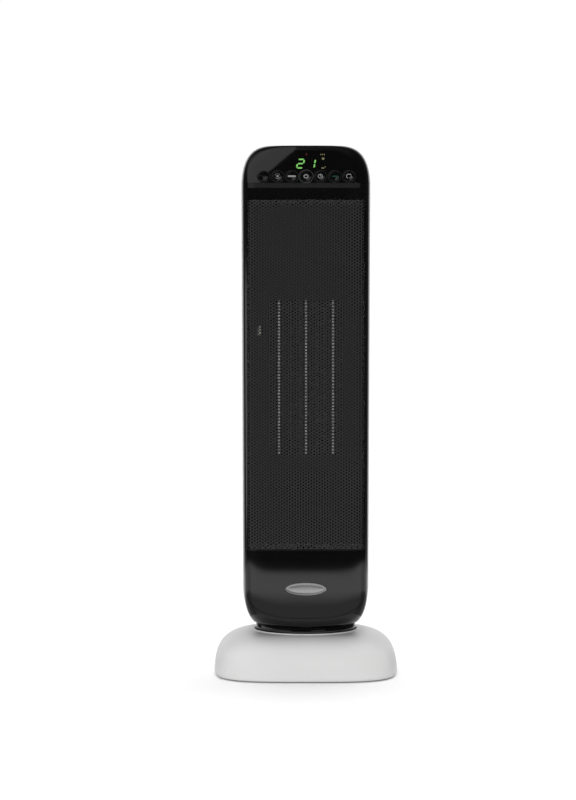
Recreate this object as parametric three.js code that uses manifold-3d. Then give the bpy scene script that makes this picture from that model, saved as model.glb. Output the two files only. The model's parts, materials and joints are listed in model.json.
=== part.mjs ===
// Ceramic tower heater. A tall head swings on a round neck above a square, domed base.
// Millimetres, +Z up, the outlet faces -Y. The origin is on the swing axis, at floor level.

import * as THREE from 'three';
import { mergeVertices } from 'three/addons/utils/BufferGeometryUtils.js';
import Module from 'manifold-3d';

const wasm = await Module();
wasm.setup();

// ---------------------------------------------------------------- driving dimensions

const GAP = 0.3; // between fixed pieces that touch
const RUN = 0.4; // between pieces that move on each other

// whole object
const HEIGHT = 594;
const HEAD_WIDTH = 143.2; // at the top shoulders
const HEAD_TAPER = 3.2; // how much narrower the head is at its chin
const HEAD_FRONT = 64; // swing axis to the front face
const HEAD_REAR = 68; // swing axis to the rear face
const BASE_SIZE = 206; // both ways
const BASE_POWER = 3.6; // squareness of the base outline

// head shell
const HEAD_WALL = 2.5;
const HEAD_FLOOR = 3;
const HEAD_POWER = 7; // squareness of the head section
const CROWN_POWER = 4; // squareness at the very top
const REAR_PROUD = 1; // the rear casing stands this much outside the front one
const SPLIT_Y = -5; // where front and rear casings meet
const CHIN_RISE = 44; // height over which the round neck opens to the full section
const CHIN_CUT = 2; // what the flat bottom takes off the chin's rounding
const TOP_ROUND_HEIGHT = 49;
const TOP_ROUND_WIDTH = 34;
const TOP_ROUND_POWER = 2.6;
const REAR_ROUND_HEIGHT = 34;
const REAR_ROUND_DEPTH = 30;
const REAR_ROUND_POWER = 2.4;
const BEVEL_DROP = 47.5; // top of the head down to the bevel's lower edge
const BEVEL_HEIGHT = 5.5;
const BEVEL_SLOPE = Math.tan(THREE.MathUtils.degToRad(12));
const PANEL_TILT = THREE.MathUtils.degToRad(25);
const CROWN_HEIGHT = 6;

// base, neck and swing
const BASE_WALL = 3;
const BASE_EDGE = 1.2; // height of the shell's lower edge
const BASE_RISE = 46.8;
const BASE_DOME_POWER = 2.4;
const BASE_LIP = 1.2; // raised ring around the neck hole
const LIP_WIDTH = 2;
const NECK_RADIUS = 56;
const NECK_HOLE_GAP = 1.5;
const NECK_HEIGHT = 8; // base dome to head
const COLLAR_WALL = 4;
const FLANGE_OUT = 6; // collar flange beyond the neck
const FLANGE_DROP = 8.2; // base dome to the flange's underside
const FLANGE_THICK = 3.7;
const GLIDE_THICK = 2.6;
const GLIDE_HALF = 4;
const TRACK_HALF = 2;
const SPINDLE_RADIUS = 12;
const WIRE_BORE = 9;
const SPINDLE_END = 5;
const SPIGOT_RADIUS = 39.5;
const SPIGOT_WALL = 3;
const SPIGOT_RISE = 8.8; // above the neck's top plate
const PLATE_BOTTOM = 3.5;
const PLATE_THICK = 3.5;
const FOOT_RADIUS = 9;
const FOOT_INSET = 31; // base half size to a foot's centre
const BOSS_WALL = 4;
const RETAINER_WIDTH = 4;
const RETAINER_THICK = 2;
const RETAINER_RISE = 5.1; // plate's underside to the retaining ring's top
const BOSS_SIDE = 3; // boss wall around the retaining ring

// oscillation gears: full pinion, part wheel, involute teeth
const PINION_TEETH = 12;
const SECTOR_TEETH = 36;
const SECTOR_CUT_TEETH = 10;
const PRESSURE_ANGLE = THREE.MathUtils.degToRad(25);
const ADDENDUM = 0.8;
const DEDENDUM = 1.05;
const BACKLASH = 0.3;
const SECTOR_THICK = 9.5;
const SECTOR_HUB = 6;
const DRIVE_MOTOR_TOP = 27;
const DRIVE_TRACK_GAP = 4; // swing motor to the glide track around it
const DRIVE_BOSS_GAP = 2.3; // swing motor to the spindle's boss

// outlet grille, chin and badge
const GRILLE_RISE = 89; // head bottom to the grille's lower edge
const GRILLE_DROP = 61; // head top to the grille's upper edge
const GRILLE_INSET = 0.8;
const GRILLE_THICK = 1.5;
const GRILLE_SIDE = 5; // chin half width less the grille half width
const FASCIA_SIDE = 4; // chin half width less the fascia half width
const FASCIA_THICK = 1.3;
const FASCIA_RISE = 11; // head bottom to the fascia's lower edge
const FASCIA_DROP = 33; // height of its rounded lower corners
const FASCIA_POWER = 2.6;
const FASCIA_MARGIN = 2; // below the grille
const BADGE_WIDTH = 45.6;
const BADGE_HEIGHT = 14.4;
const BADGE_THICK = 1.4;
const BADGE_RISE = 44.6;

// control panel
const BUTTON_NAMES = ['timer', 'mode', 'fan', 'power', 'heat', 'eco', 'swing'];
const BUTTON_PITCH = 15.8;
const BUTTON_RADIUS = 6.2;
const POWER_BUTTON_RADIUS = 6.9;
const BUTTON_LENGTH = 5;
const BUTTON_PROUD = 0.5;
const BUTTON_EDGE = 0.8; // bevel around a button's face
const BUTTON_MARGIN = 0.64; // largest bore to the panel's lower edge
const BUTTON_TRAVEL = 1;
const DISPLAY_WIDTH = 52;
const DISPLAY_HEIGHT = 14;
const DISPLAY_DEPTH = 4.2;
const DISPLAY_MARGIN = 0.9; // power button to the display
const BOARD_THICK = 1.6;
const BOARD_ROOM = 2; // pressed button to the control board
const BOARD_BELOW = 8; // control board's reach down and up the slope
const BOARD_ABOVE = 23;
const BOARD_SIDE = 15; // its ends to the shell's inner face
const KEY_SIZE = 6;

// heating unit and its window
const WINDOW_RISE = 104.5; // grille's lower edge to the window
const WINDOW_WIDTH = 83;
const WINDOW_HEIGHT = 172.5;
const WINDOW_CORNER = 6;
const BAFFLE_SETBACK = 11; // front face to the baffle's front
const BAFFLE_THICK = 2;
const BAFFLE_MARGIN = 5; // inside the grille's upper and lower edges
const HEATER_DEPTH = 18.7;
const HEATER_FRAME = 3.5;
const TUBE_COUNT = 3;
const TUBE_PITCH = 30;
const TUBE_WIDTH = 3.8;
const TUBE_DEPTH = 17;
const FIN_SETBACK = 1; // fins behind the tubes' faces
const SENSOR_X = -52;
const SENSOR_RISE = 138.5; // window's lower edge to the room sensor
const SENSOR_WIDTH = 3.2;
const SENSOR_HEIGHT = 11;
const SENSOR_GAP = 0.8;

// fan
const FAN_Y = 8;
const IMPELLER_RADIUS = 28;
const BLADE_COUNT = 14;
const BLADE_DEPTH = 7;
const BLADE_THICK = 1;
const DISC_THICK = 2;
const SHAFT_RADIUS = 3;
const TIP_CLEARANCE = 3;
const SCROLL_WALL = 2;
const SCROLL_PLATE = 2.5;
const MOTOR_RADIUS = 27;
const MOTOR_LENGTH = 48;
const MOTOR_NOSE = 7; // bearing housing at each end
const MOTOR_SHOULDER = 3; // slope from a bearing housing to the body
const LUG_THICK = 2.5;
const LUG_HALF = 5;
const LUG_REACH = 4;
const BUSH_RADIUS = SHAFT_RADIUS + 4;
const BUSH_RISE = 7;
const SHAFT_END = 9;

// rear: intake filter, handle recess, main switch
const FILTER_HALF = 52;
const FILTER_RISE = 149; // head bottom to the filter
const FILTER_DROP = 129; // head top to the filter
const FILTER_RIM = 6;
const FILTER_COLUMNS = 2;
const FILTER_ROWS = 6;
const FILTER_RIB = 4;
const SHEET_MARGIN = 4; // net inside the filter frame's edge
const SHEET_THICK = 1.2;
const SHEET_GAP = 1; // behind the frame, which curves in slightly at its sides
const HANDLE_HALF = 40;
const HANDLE_DROP = 66; // head top to the recess's upper face
const HANDLE_HEIGHT = 26;
const HANDLE_DEPTH = 24;
const SWITCH_RISE = 66;
const SWITCH_WIDTH = 15;
const SWITCH_HEIGHT = 20.8;
const SWITCH_TILT = THREE.MathUtils.degToRad(8);
const SWITCH_WALL = 2.4;
const SWITCH_PLAY = 1.2; // rocker's ends to its pocket
const SWITCH_FLANGE = 2;
const SWITCH_FLANGE_THICK = 1.6;
const SWITCH_DEPTH = 20;
const SWITCH_POCKET_DEPTH = 11;
const PIVOT_DEPTH = 2; // rocker's pivot behind the rear face

// fasteners
const SCREW_RADIUS = 1.7;
const SCREW_HEAD = 3.5;
const POST_RADIUS = 4.6;
const POST_SIDE = 15.6; // head half width less a post's centre
const POST_BELOW = 20; // lower posts below the grille
const POST_ABOVE = 8; // upper posts above the grille
const POST_SETBACK = 22; // rear face to where front posts meet rear bosses
const BOSS_EXTRA = 0.8; // a boss is this much thicker than a post
const BOSS_SEAT = 5.6; // thickness of material under a screw's head
const PILOT_DEPTH = 16;
const HEAD_SCREW_LENGTH = 17;
const BASE_SCREW_LENGTH = 13;
const BASE_SCREW_SINK = 1.9;
const SCREW_POINT = 1.5;
const SCREW_HEAD_RISE = 1.8;

// derived levels
const BASE_HALF = BASE_SIZE / 2;
const BASE_TOP = BASE_EDGE + BASE_RISE;
const HEAD_BOTTOM = BASE_TOP + NECK_HEIGHT;
const CHIN_TOP = HEAD_BOTTOM + CHIN_RISE;
const SHOULDER = HEIGHT - TOP_ROUND_HEIGHT;
const BEVEL_BOTTOM = HEIGHT - BEVEL_DROP;
const PANEL_BOTTOM = BEVEL_BOTTOM + BEVEL_HEIGHT;
const CHIN_HALF = (HEAD_WIDTH - HEAD_TAPER) / 2;
const GRILLE_BOTTOM = HEAD_BOTTOM + GRILLE_RISE;
const GRILLE_TOP = HEIGHT - GRILLE_DROP;
const GRILLE_HALF = CHIN_HALF - GRILLE_SIDE;
const FLANGE_BOTTOM = BASE_TOP - FLANGE_DROP;
const GLIDE_TOP = FLANGE_BOTTOM - RUN;
const TRACK_TOP = GLIDE_TOP - GLIDE_THICK - GAP;
const TRACK_OUTER = NECK_RADIUS + TRACK_HALF;
const PLATE_TOP = PLATE_BOTTOM + PLATE_THICK;
const RETAINER_TOP = PLATE_BOTTOM + RETAINER_RISE;
const RETAINER_OUTER = SPINDLE_RADIUS + GAP + RETAINER_WIDTH;
const BOSS_RADIUS = RETAINER_OUTER + RUN + BOSS_SIDE;
const DRIVE_OUTER = NECK_RADIUS - TRACK_HALF - DRIVE_TRACK_GAP;
const DRIVE_MOTOR_RADIUS = (DRIVE_OUTER - BOSS_RADIUS - DRIVE_BOSS_GAP) / 2;
const GEAR_CENTRES = DRIVE_OUTER - DRIVE_MOTOR_RADIUS;
const GEAR_MODULE = (2 * GEAR_CENTRES) / (PINION_TEETH + SECTOR_TEETH);
const SECTOR_BOTTOM = FLANGE_BOTTOM - GAP - SECTOR_THICK;
const WINDOW_BOTTOM = GRILLE_BOTTOM + WINDOW_RISE;
const WINDOW_TOP = WINDOW_BOTTOM + WINDOW_HEIGHT;
const BAFFLE_FRONT = -HEAD_FRONT + BAFFLE_SETBACK;
const BAFFLE_BACK = BAFFLE_FRONT + BAFFLE_THICK;
const HEATER_FRONT = BAFFLE_BACK + GAP;
const HEATER_BACK = HEATER_FRONT + HEATER_DEPTH;
const FAN_BOTTOM = WINDOW_BOTTOM;
const FAN_TOP = WINDOW_TOP - 1;
const SCROLL_FRONT = HEATER_BACK + RUN;
const FILTER_BOTTOM = HEAD_BOTTOM + FILTER_RISE;
const FILTER_TOP = HEIGHT - FILTER_DROP;
const REAR_FACE = HEAD_REAR + REAR_PROUD;
const PANEL_FRONT = HEAD_FRONT - BEVEL_HEIGHT * BEVEL_SLOPE;
const LARGEST_BORE = Math.max(BUTTON_RADIUS, POWER_BUTTON_RADIUS) + RUN;
const BUTTON_ROW_RISE = (LARGEST_BORE + BUTTON_MARGIN) * Math.cos(PANEL_TILT);
const BOARD_DROP = BUTTON_LENGTH + BUTTON_TRAVEL + BOARD_ROOM; // panel face to the control board
const SWITCH_Z = HEAD_BOTTOM + SWITCH_RISE;
const SWITCH_POCKET = SWITCH_HEIGHT / 2 + SWITCH_PLAY;
const POST_MEET = HEAD_REAR - POST_SETBACK;
const BOSS_STEP = POST_MEET + BOSS_SEAT;

// ---------------------------------------------------------------- materials

function finish(color, roughness, metalness = 0) {
  return new THREE.MeshStandardMaterial({ color, roughness, metalness });
}

const whitePlastic = finish(0xdcdcdc, 0.35);
const blackGloss = finish(0x0a0a0b, 0.08);
const blackSatin = finish(0x1c1c1d, 0.4);
const grilleBlack = finish(0x242424, 0.5);
const darkPlastic = finish(0x2b2b2d, 0.6);
const greyPlastic = finish(0x8b8d90, 0.55);
const heatPlastic = finish(0x4a4a48, 0.7);
const aluminium = finish(0xb9bcc0, 0.35, 1);
const steel = finish(0x9fa2a6, 0.35, 1);
const brass = finish(0xb08a4a, 0.35, 1);
const rubber = finish(0x1b1b1b, 0.85);
const boardGreen = finish(0x1f5a38, 0.5);
const acetal = finish(0xe8e4d8, 0.4);
const filterCloth = finish(0x303236, 0.9);
const smokedLens = finish(0x101214, 0.1);
const silver = finish(0xc4c6c8, 0.25, 1);

// ---------------------------------------------------------------- solids

/** Turns a closed three.js geometry into a solid, with its faces pointing out. */
function solid(geometry) {
  const bare = geometry.clone();
  bare.deleteAttribute('normal');
  bare.deleteAttribute('uv');
  const merged = mergeVertices(bare, 1e-4);
  const points = merged.attributes.position;
  const index = merged.index.array;
  const kept = [];
  const [a, b, c] = [new THREE.Vector3(), new THREE.Vector3(), new THREE.Vector3()];
  let volume = 0;
  for (let i = 0; i < index.length; i += 3) {
    const [p, q, r] = [index[i], index[i + 1], index[i + 2]];
    if (p === q || q === r || r === p) continue;
    kept.push([p, q, r]);
    a.fromBufferAttribute(points, p);
    b.fromBufferAttribute(points, q);
    c.fromBufferAttribute(points, r);
    volume += a.dot(b.cross(c));
  }
  const facingOut = kept.flatMap(([p, q, r]) => (volume < 0 ? [p, r, q] : [p, q, r]));
  return new wasm.Manifold(
    new wasm.Mesh({
      numProp: 3,
      vertProperties: Float32Array.from(points.array),
      triVerts: Uint32Array.from(facingOut),
    }),
  );
}

/** A named mesh from a solid. */
function piece(name, shape, material) {
  const mesh = shape.getMesh();
  const geometry = new THREE.BufferGeometry();
  geometry.setAttribute('position', new THREE.BufferAttribute(mesh.vertProperties, 3));
  geometry.setIndex(new THREE.BufferAttribute(mesh.triVerts, 1));
  geometry.computeVertexNormals();
  const result = new THREE.Mesh(geometry, material);
  result.name = name;
  return result;
}

function joined(shapes) {
  return shapes.reduce((all, shape) => all.add(shape));
}

/** A box between two corners. */
function block([x0, y0, z0], [x1, y1, z1]) {
  const geometry = new THREE.BoxGeometry(x1 - x0, y1 - y0, z1 - z0);
  geometry.translate((x0 + x1) / 2, (y0 + y1) / 2, (z0 + z1) / 2);
  return solid(geometry);
}

/** A turned solid on a vertical axis through centre, from its [radius, height] outline. */
function turned(outline, sides = 32, centre = [0, 0]) {
  const points = outline.map(([radius, height]) => new THREE.Vector2(radius, height));
  const onAxis = outline[0][0] === 0 && outline[outline.length - 1][0] === 0;
  if (!onAxis) points.push(points[0].clone());
  const geometry = new THREE.LatheGeometry(points, sides);
  geometry.rotateX(Math.PI / 2);
  geometry.translate(centre[0], centre[1], 0);
  return solid(geometry);
}

/** A straight round bar, upright at centre. */
function bar(radius, bottom, top, sides = 24, centre = [0, 0]) {
  return turned([[0, bottom], [radius, bottom], [radius, top], [0, top]], sides, centre);
}

/** A straight round tube on the Z axis. */
function tube(inner, outer, bottom, top, sides = 32) {
  return turned([[inner, bottom], [outer, bottom], [outer, top], [inner, top]], sides);
}

/** A round bar along Y, through (x, z), between two y values. */
function barAlongY(radius, x, z, y0, y1, sides = 16) {
  const geometry = new THREE.CylinderGeometry(radius, radius, y1 - y0, sides);
  geometry.translate(x, (y0 + y1) / 2, z);
  return solid(geometry);
}

/** A flat outline in XY, given thickness from bottom to top. */
function extruded(points, bottom, top) {
  const shape = new THREE.Shape(points.map(([x, y]) => new THREE.Vector2(x, y)));
  const geometry = new THREE.ExtrudeGeometry(shape, { depth: top - bottom, bevelEnabled: false });
  geometry.translate(0, 0, bottom);
  return solid(geometry);
}

/** A flat outline in XZ, extended along Y between two y values. */
function extrudedAlongY(points, y0, y1) {
  const shape = new THREE.Shape(points.map(([x, z]) => new THREE.Vector2(x, z)));
  const geometry = new THREE.ExtrudeGeometry(shape, { depth: y1 - y0, bevelEnabled: false });
  geometry.rotateX(Math.PI / 2);
  geometry.translate(0, y1, 0);
  return solid(geometry);
}

/** A solid through a stack of rings that have the same number of points. */
function loft(rings) {
  const count = rings[0].length;
  const index = [];
  rings.slice(1).forEach((ring, level) => {
    for (let i = 0; i < count; i += 1) {
      const j = (i + 1) % count;
      const [low, high] = [level * count, (level + 1) * count];
      index.push(low + i, low + j, high + j, low + i, high + j, high + i);
    }
  });
  const last = (rings.length - 1) * count;
  const flat = (ring) => ring.map((point) => new THREE.Vector2(point.x, point.y));
  for (const [p, q, r] of THREE.ShapeUtils.triangulateShape(flat(rings[0]), [])) index.push(p, r, q);
  for (const [p, q, r] of THREE.ShapeUtils.triangulateShape(flat(rings.at(-1)), [])) {
    index.push(last + p, last + q, last + r);
  }
  const geometry = new THREE.BufferGeometry().setFromPoints(rings.flat());
  geometry.setIndex(index);
  return solid(geometry);
}

/** The outline of a bent strip: a path offset half its thickness each way. */
function strip(path, thickness) {
  const side = (sign) =>
    path.map(([x, y], i) => {
      const [x0, y0] = path[Math.max(i - 1, 0)];
      const [x1, y1] = path[Math.min(i + 1, path.length - 1)];
      const length = Math.hypot(x1 - x0, y1 - y0);
      const reach = (sign * thickness) / 2 / length;
      return [x - (y1 - y0) * reach, y + (x1 - x0) * reach];
    });
  return [...side(1), ...side(-1).reverse()];
}

function arc(cx, cy, radius, fromDegrees, toDegrees, steps) {
  return Array.from({ length: steps + 1 }, (_, i) => {
    const angle = THREE.MathUtils.degToRad(fromDegrees + ((toDegrees - fromDegrees) * i) / steps);
    return [cx + radius * Math.cos(angle), cy + radius * Math.sin(angle)];
  });
}

function roundedBox(width, height, radius, cx = 0, cy = 0) {
  const [x, y] = [width / 2 - radius, height / 2 - radius];
  return [
    ...arc(cx + x, cy + y, radius, 0, 90, 4),
    ...arc(cx - x, cy + y, radius, 90, 180, 4),
    ...arc(cx - x, cy - y, radius, 180, 270, 4),
    ...arc(cx + x, cy - y, radius, 270, 360, 4),
  ];
}

// ---------------------------------------------------------------- head form

const { lerp } = THREE.MathUtils;
const ROUND = 2; // the power of a true circle or ellipse

/** How far a superellipse arc has come in, from 0 to 1, after a share u of its height. */
function rounding(u, power) {
  return 1 - Math.max(0, 1 - u ** power) ** (1 / power);
}

/** Distance from the axis to the front face at height z. */
function frontDepth(z) {
  if (z <= BEVEL_BOTTOM) return HEAD_FRONT;
  if (z <= PANEL_BOTTOM) return HEAD_FRONT - (z - BEVEL_BOTTOM) * BEVEL_SLOPE;
  const slanted = PANEL_FRONT - (z - PANEL_BOTTOM) * Math.tan(PANEL_TILT);
  const crown = Math.max(0, z - (HEIGHT - CROWN_HEIGHT)) / CROWN_HEIGHT;
  return slanted - CROWN_HEIGHT * rounding(crown, ROUND);
}

/** Half width, front and rear depth and squareness of the head at height z. */
function headSection(z) {
  if (z < CHIN_TOP) {
    const reach = CHIN_RISE + CHIN_CUT;
    const full = rounding(CHIN_RISE / reach, ROUND);
    const blend = rounding((CHIN_TOP - z) / reach, ROUND) / full;
    return {
      half: lerp(CHIN_HALF, NECK_RADIUS, blend),
      front: lerp(HEAD_FRONT, NECK_RADIUS, blend),
      rear: lerp(HEAD_REAR, NECK_RADIUS, blend),
      power: lerp(HEAD_POWER, ROUND, blend),
    };
  }
  const up = Math.max(0, (z - SHOULDER) / TOP_ROUND_HEIGHT);
  const back = Math.max(0, (z - HEIGHT + REAR_ROUND_HEIGHT) / REAR_ROUND_HEIGHT);
  const along = Math.min(1, (z - CHIN_TOP) / (SHOULDER - CHIN_TOP));
  return {
    half: lerp(CHIN_HALF, HEAD_WIDTH / 2, along) - TOP_ROUND_WIDTH * rounding(up, TOP_ROUND_POWER),
    front: frontDepth(z),
    rear: HEAD_REAR - REAR_ROUND_DEPTH * rounding(back, REAR_ROUND_POWER),
    power: lerp(HEAD_POWER, CROWN_POWER, up ** 3),
  };
}

/** Angles around a section, closer together at its four corners. */
const CORNER_STEPS = 7;
const HEAD_ANGLES = [0, 1, 2, 3].flatMap((quarter) =>
  Array.from({ length: CORNER_STEPS }, (_, k) => {
    const share = (2 * k) / CORNER_STEPS - 1;
    const degrees = 45 + 45 * Math.sign(share) * Math.abs(share) ** 1.5;
    return THREE.MathUtils.degToRad(quarter * 90 + degrees);
  }),
);

function headRing(z, inset, proud, sectionZ = z) {
  const { half, front, rear, power } = headSection(sectionZ);
  return HEAD_ANGLES.map((angle) => {
    const [x, y] = [Math.cos(angle), Math.sin(angle)];
    const depth = (y < 0 ? front : rear + proud) - inset;
    const sum = (Math.abs(x) / (half + proud - inset)) ** power + (Math.abs(y) / depth) ** power;
    const radius = sum ** (-1 / power);
    return new THREE.Vector3(radius * x, radius * y, z);
  });
}

/** Heights of the rings, closer together where the form turns in. */
function headLevels(bottom, top, chinSteps, crownSteps) {
  const shares = (steps) => Array.from({ length: steps + 1 }, (_, k) => k / steps);
  const chin = shares(chinSteps).map((share) => bottom + (CHIN_TOP - bottom) * share ** 2);
  const crown = shares(crownSteps).map((share) => top - (top - PANEL_BOTTOM) * (1 - share) ** 1.6);
  return [...chin, SHOULDER, BEVEL_BOTTOM, ...crown];
}

/** The head's full form, or one inset from it all round. */
function headForm(inset, proud = 0) {
  const solidForm = inset === 0;
  const bottom = HEAD_BOTTOM + (solidForm ? 0 : Math.max(inset, HEAD_FLOOR));
  const top = HEIGHT - inset;
  const stretch = TOP_ROUND_HEIGHT / (TOP_ROUND_HEIGHT - inset);
  const levels = headLevels(bottom, top, solidForm ? 5 : 3, solidForm ? 5 : 4);
  const sectionAt = (z) => (z > SHOULDER ? SHOULDER + (z - SHOULDER) * stretch : z);
  return loft(levels.map((z) => headRing(z, inset, proud, sectionAt(z))));
}

/** The half width of the head's section at height z, at a distance y from the axis. */
function halfWidthAt(z, y, inset) {
  const { half, front, rear, power } = headSection(z);
  const depth = (y < 0 ? front : rear) - inset;
  return (half - inset) * (1 - (Math.abs(y) / depth) ** power) ** (1 / power);
}

/** Where the front face is, at x across the head. */
function frontAt(x, z, inset) {
  const { half, front, power } = headSection(z);
  return -(front - inset) * (1 - (Math.abs(x) / (half - inset)) ** power) ** (1 / power);
}

const FAR = 400; // beyond every face, for cutting blocks
const frontForm = headForm(0);
const rearForm = headForm(0, REAR_PROUD);
const insideFront = headForm(HEAD_WALL);
const insideRear = headForm(HEAD_WALL, REAR_PROUD);
const frontHalf = block([-FAR, -FAR, -FAR], [FAR, SPLIT_Y - GAP / 2, HEIGHT + FAR]);
const rearHalf = block([-FAR, SPLIT_Y + GAP / 2, -FAR], [FAR, FAR, HEIGHT + FAR]);
const frontShell = frontForm.subtract(insideFront).intersect(frontHalf);
const rearShell = rearForm.subtract(insideRear).intersect(rearHalf);
const postPlaces = [-1, 1].flatMap((side) => [
  [side * (HEAD_WIDTH / 2 - POST_SIDE), GRILLE_BOTTOM - POST_BELOW],
  [side * (HEAD_WIDTH / 2 - POST_SIDE), GRILLE_TOP + POST_ABOVE],
]);
const SKIN = 1; // how far inner parts stay under the outer face

const floorHole = bar(SPIGOT_RADIUS + RUN, 0, HEAD_BOTTOM + HEAD_FLOOR + SKIN, 32);

// ---------------------------------------------------------------- head casings

// A frame of its own: x across, y up the slope, z out of the face.
const panelFrame = new THREE.Group();
const BUTTON_ROW_Y = -PANEL_FRONT + BUTTON_ROW_RISE * Math.tan(PANEL_TILT);
panelFrame.position.set(0, BUTTON_ROW_Y, PANEL_BOTTOM + BUTTON_ROW_RISE);
panelFrame.rotation.x = Math.PI / 2 - PANEL_TILT;
panelFrame.updateMatrixWorld();

const POWER_INDEX = BUTTON_NAMES.indexOf('power');
const buttonRadius = (index) => (index === POWER_INDEX ? POWER_BUTTON_RADIUS : BUTTON_RADIUS);
const buttonX = (index) => (index - POWER_INDEX) * BUTTON_PITCH;

/** The room that the buttons move in. */
const buttonBores = joined(BUTTON_NAMES.map((_, index) => {
  const radius = buttonRadius(index) + RUN;
  const bore = new THREE.CylinderGeometry(radius, radius, 4 * BUTTON_LENGTH, 16);
  bore.rotateX(Math.PI / 2);
  bore.translate(buttonX(index), 0, 0);
  bore.applyMatrix4(panelFrame.matrixWorld);
  return solid(bore);
}));

/** Outline of the chin fascia in XZ, wider all round by grow. */
function fasciaOutline(grow) {
  const half = CHIN_HALF - FASCIA_SIDE + grow;
  const bottom = HEAD_BOTTOM + FASCIA_RISE - grow;
  const top = GRILLE_BOTTOM - FASCIA_MARGIN + grow;
  const corner = (x, side) => {
    const fall = (1 - Math.abs(x) ** FASCIA_POWER) ** (1 / FASCIA_POWER);
    return [side * half * Math.abs(x), bottom + FASCIA_DROP * (1 - fall)];
  };
  const count = 8;
  const steps = Array.from({ length: count + 1 }, (_, k) => Math.sin((k * Math.PI) / (2 * count)));
  return [
    [half, top],
    [-half, top],
    ...steps.toReversed().map((x) => corner(x, -1)),
    ...steps.slice(1).map((x) => corner(x, 1)),
  ];
}

/** What lies outside the head's form less a thickness, within the fascia's outline. */
function fasciaZone(thickness, grow) {
  return extrudedAlongY(fasciaOutline(grow), -FAR, -HEAD_FRONT / 2).subtract(headForm(thickness));
}

function frontBezel() {
  const opening = block(
    [-GRILLE_HALF - GAP, -FAR, GRILLE_BOTTOM - GAP],
    [GRILLE_HALF + GAP, -HEAD_FRONT / 2, GRILLE_TOP + GAP],
  );
  const below = block([-FAR, -FAR, -FAR], [FAR, FAR, PANEL_BOTTOM - GAP / 2]);
  const core = headForm(FASCIA_THICK + 1.5 * GAP);
  const posts = postPlaces.map(([x, z]) =>
    barAlongY(POST_RADIUS, x, z, -FAR, POST_MEET - GAP).intersect(core));
  const pilots = postPlaces.map(([x, z]) =>
    barAlongY(SCREW_RADIUS + GAP, x, z, POST_MEET - PILOT_DEPTH, FAR, 10));
  return joined([frontShell.intersect(below), ...posts])
    .subtract(opening)
    .subtract(floorHole)
    .subtract(fasciaZone(FASCIA_THICK + GAP, GAP))
    .subtract(buttonBores)
    .subtract(joined(pilots));
}

function handleCup() {
  const top = HEIGHT - HANDLE_DROP;
  const wall = HEAD_WALL;
  const outside = block(
    [-HANDLE_HALF - wall, REAR_FACE - HANDLE_DEPTH - wall, top - HANDLE_HEIGHT - wall],
    [HANDLE_HALF + wall, FAR, top + wall],
  ).intersect(headForm(SKIN, REAR_PROUD));
  const pocket = block(
    [-HANDLE_HALF, REAR_FACE - HANDLE_DEPTH, top - HANDLE_HEIGHT],
    [HANDLE_HALF, FAR, top],
  );
  return { outside, pocket };
}

function filterOpening(clearance) {
  return block(
    [-FILTER_HALF - clearance, HEAD_REAR / 2, FILTER_BOTTOM - clearance],
    [FILTER_HALF + clearance, FAR, FILTER_TOP + clearance],
  );
}

function rearCasing() {
  const core = headForm(SKIN, REAR_PROUD);
  const bosses = postPlaces.map(([x, z]) =>
    barAlongY(POST_RADIUS + BOSS_EXTRA, x, z, POST_MEET, FAR).intersect(core));
  const holes = postPlaces.flatMap(([x, z]) => [
    barAlongY(SCREW_RADIUS + RUN, x, z, 0, FAR, 10),
    barAlongY(SCREW_HEAD + RUN, x, z, BOSS_STEP, FAR, 12),
  ]);
  const cup = handleCup();
  const switchHole = block(
    [-SWITCH_WIDTH / 2 - SWITCH_WALL - 2 * GAP, 0, SWITCH_Z - SWITCH_POCKET - SWITCH_WALL - GAP],
    [SWITCH_WIDTH / 2 + SWITCH_WALL + 2 * GAP, FAR, SWITCH_Z + SWITCH_POCKET + SWITCH_WALL + GAP],
  );
  return joined([rearShell, ...bosses, cup.outside])
    .subtract(cup.pocket)
    .subtract(joined(holes))
    .subtract(floorHole)
    .subtract(filterOpening(2 * GAP))
    .subtract(switchHole);
}

function outletGrille() {
  const count = 6;
  const ring = (z) => {
    const side = (inset, sign) =>
      Array.from({ length: 2 * count + 1 }, (_, k) => {
        const x = sign * GRILLE_HALF * Math.sin((k / count - 1) * (Math.PI / 2));
        return new THREE.Vector3(x, frontAt(x, z, inset), z);
      });
    return [...side(GRILLE_INSET, 1), ...side(GRILLE_INSET + GRILLE_THICK, -1)];
  };
  return loft([ring(GRILLE_BOTTOM), ring(GRILLE_TOP)]);
}

function badgePlate() {
  const z = HEAD_BOTTOM + BADGE_RISE;
  const sides = 28;
  const outline = Array.from({ length: sides }, (_, k) => {
    const angle = (k * 2 * Math.PI) / sides;
    return [(BADGE_WIDTH / 2) * Math.cos(angle), z + (BADGE_HEIGHT / 2) * Math.sin(angle)];
  });
  return extrudedAlongY(outline, -HEAD_FRONT - GAP - BADGE_THICK, -HEAD_FRONT - GAP);
}

const head = new THREE.Group();
head.add(
  piece('front_bezel', frontBezel(), blackSatin),
  piece('rear_casing', rearCasing(), whitePlastic),
  piece('outlet_grille', outletGrille(), grilleBlack),
  piece('chin_fascia', fasciaZone(FASCIA_THICK, 0).intersect(frontForm), blackGloss),
  piece('badge', badgePlate(), silver),
);

// ---------------------------------------------------------------- control panel

function controlPanel() {
  const above = block([-FAR, -FAR, PANEL_BOTTOM + GAP / 2], [FAR, FAR, HEIGHT + FAR]);
  return frontShell.intersect(above).subtract(buttonBores);
}

function button(radius) {
  return turned([
    [0, BUTTON_PROUD - BUTTON_LENGTH],
    [radius, BUTTON_PROUD - BUTTON_LENGTH],
    [radius, BUTTON_PROUD - BUTTON_EDGE],
    [radius - BUTTON_EDGE, BUTTON_PROUD],
    [0, BUTTON_PROUD],
  ], 16);
}

const BURIED = 0.1; // how deep a joined detail reaches into what carries it

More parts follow.
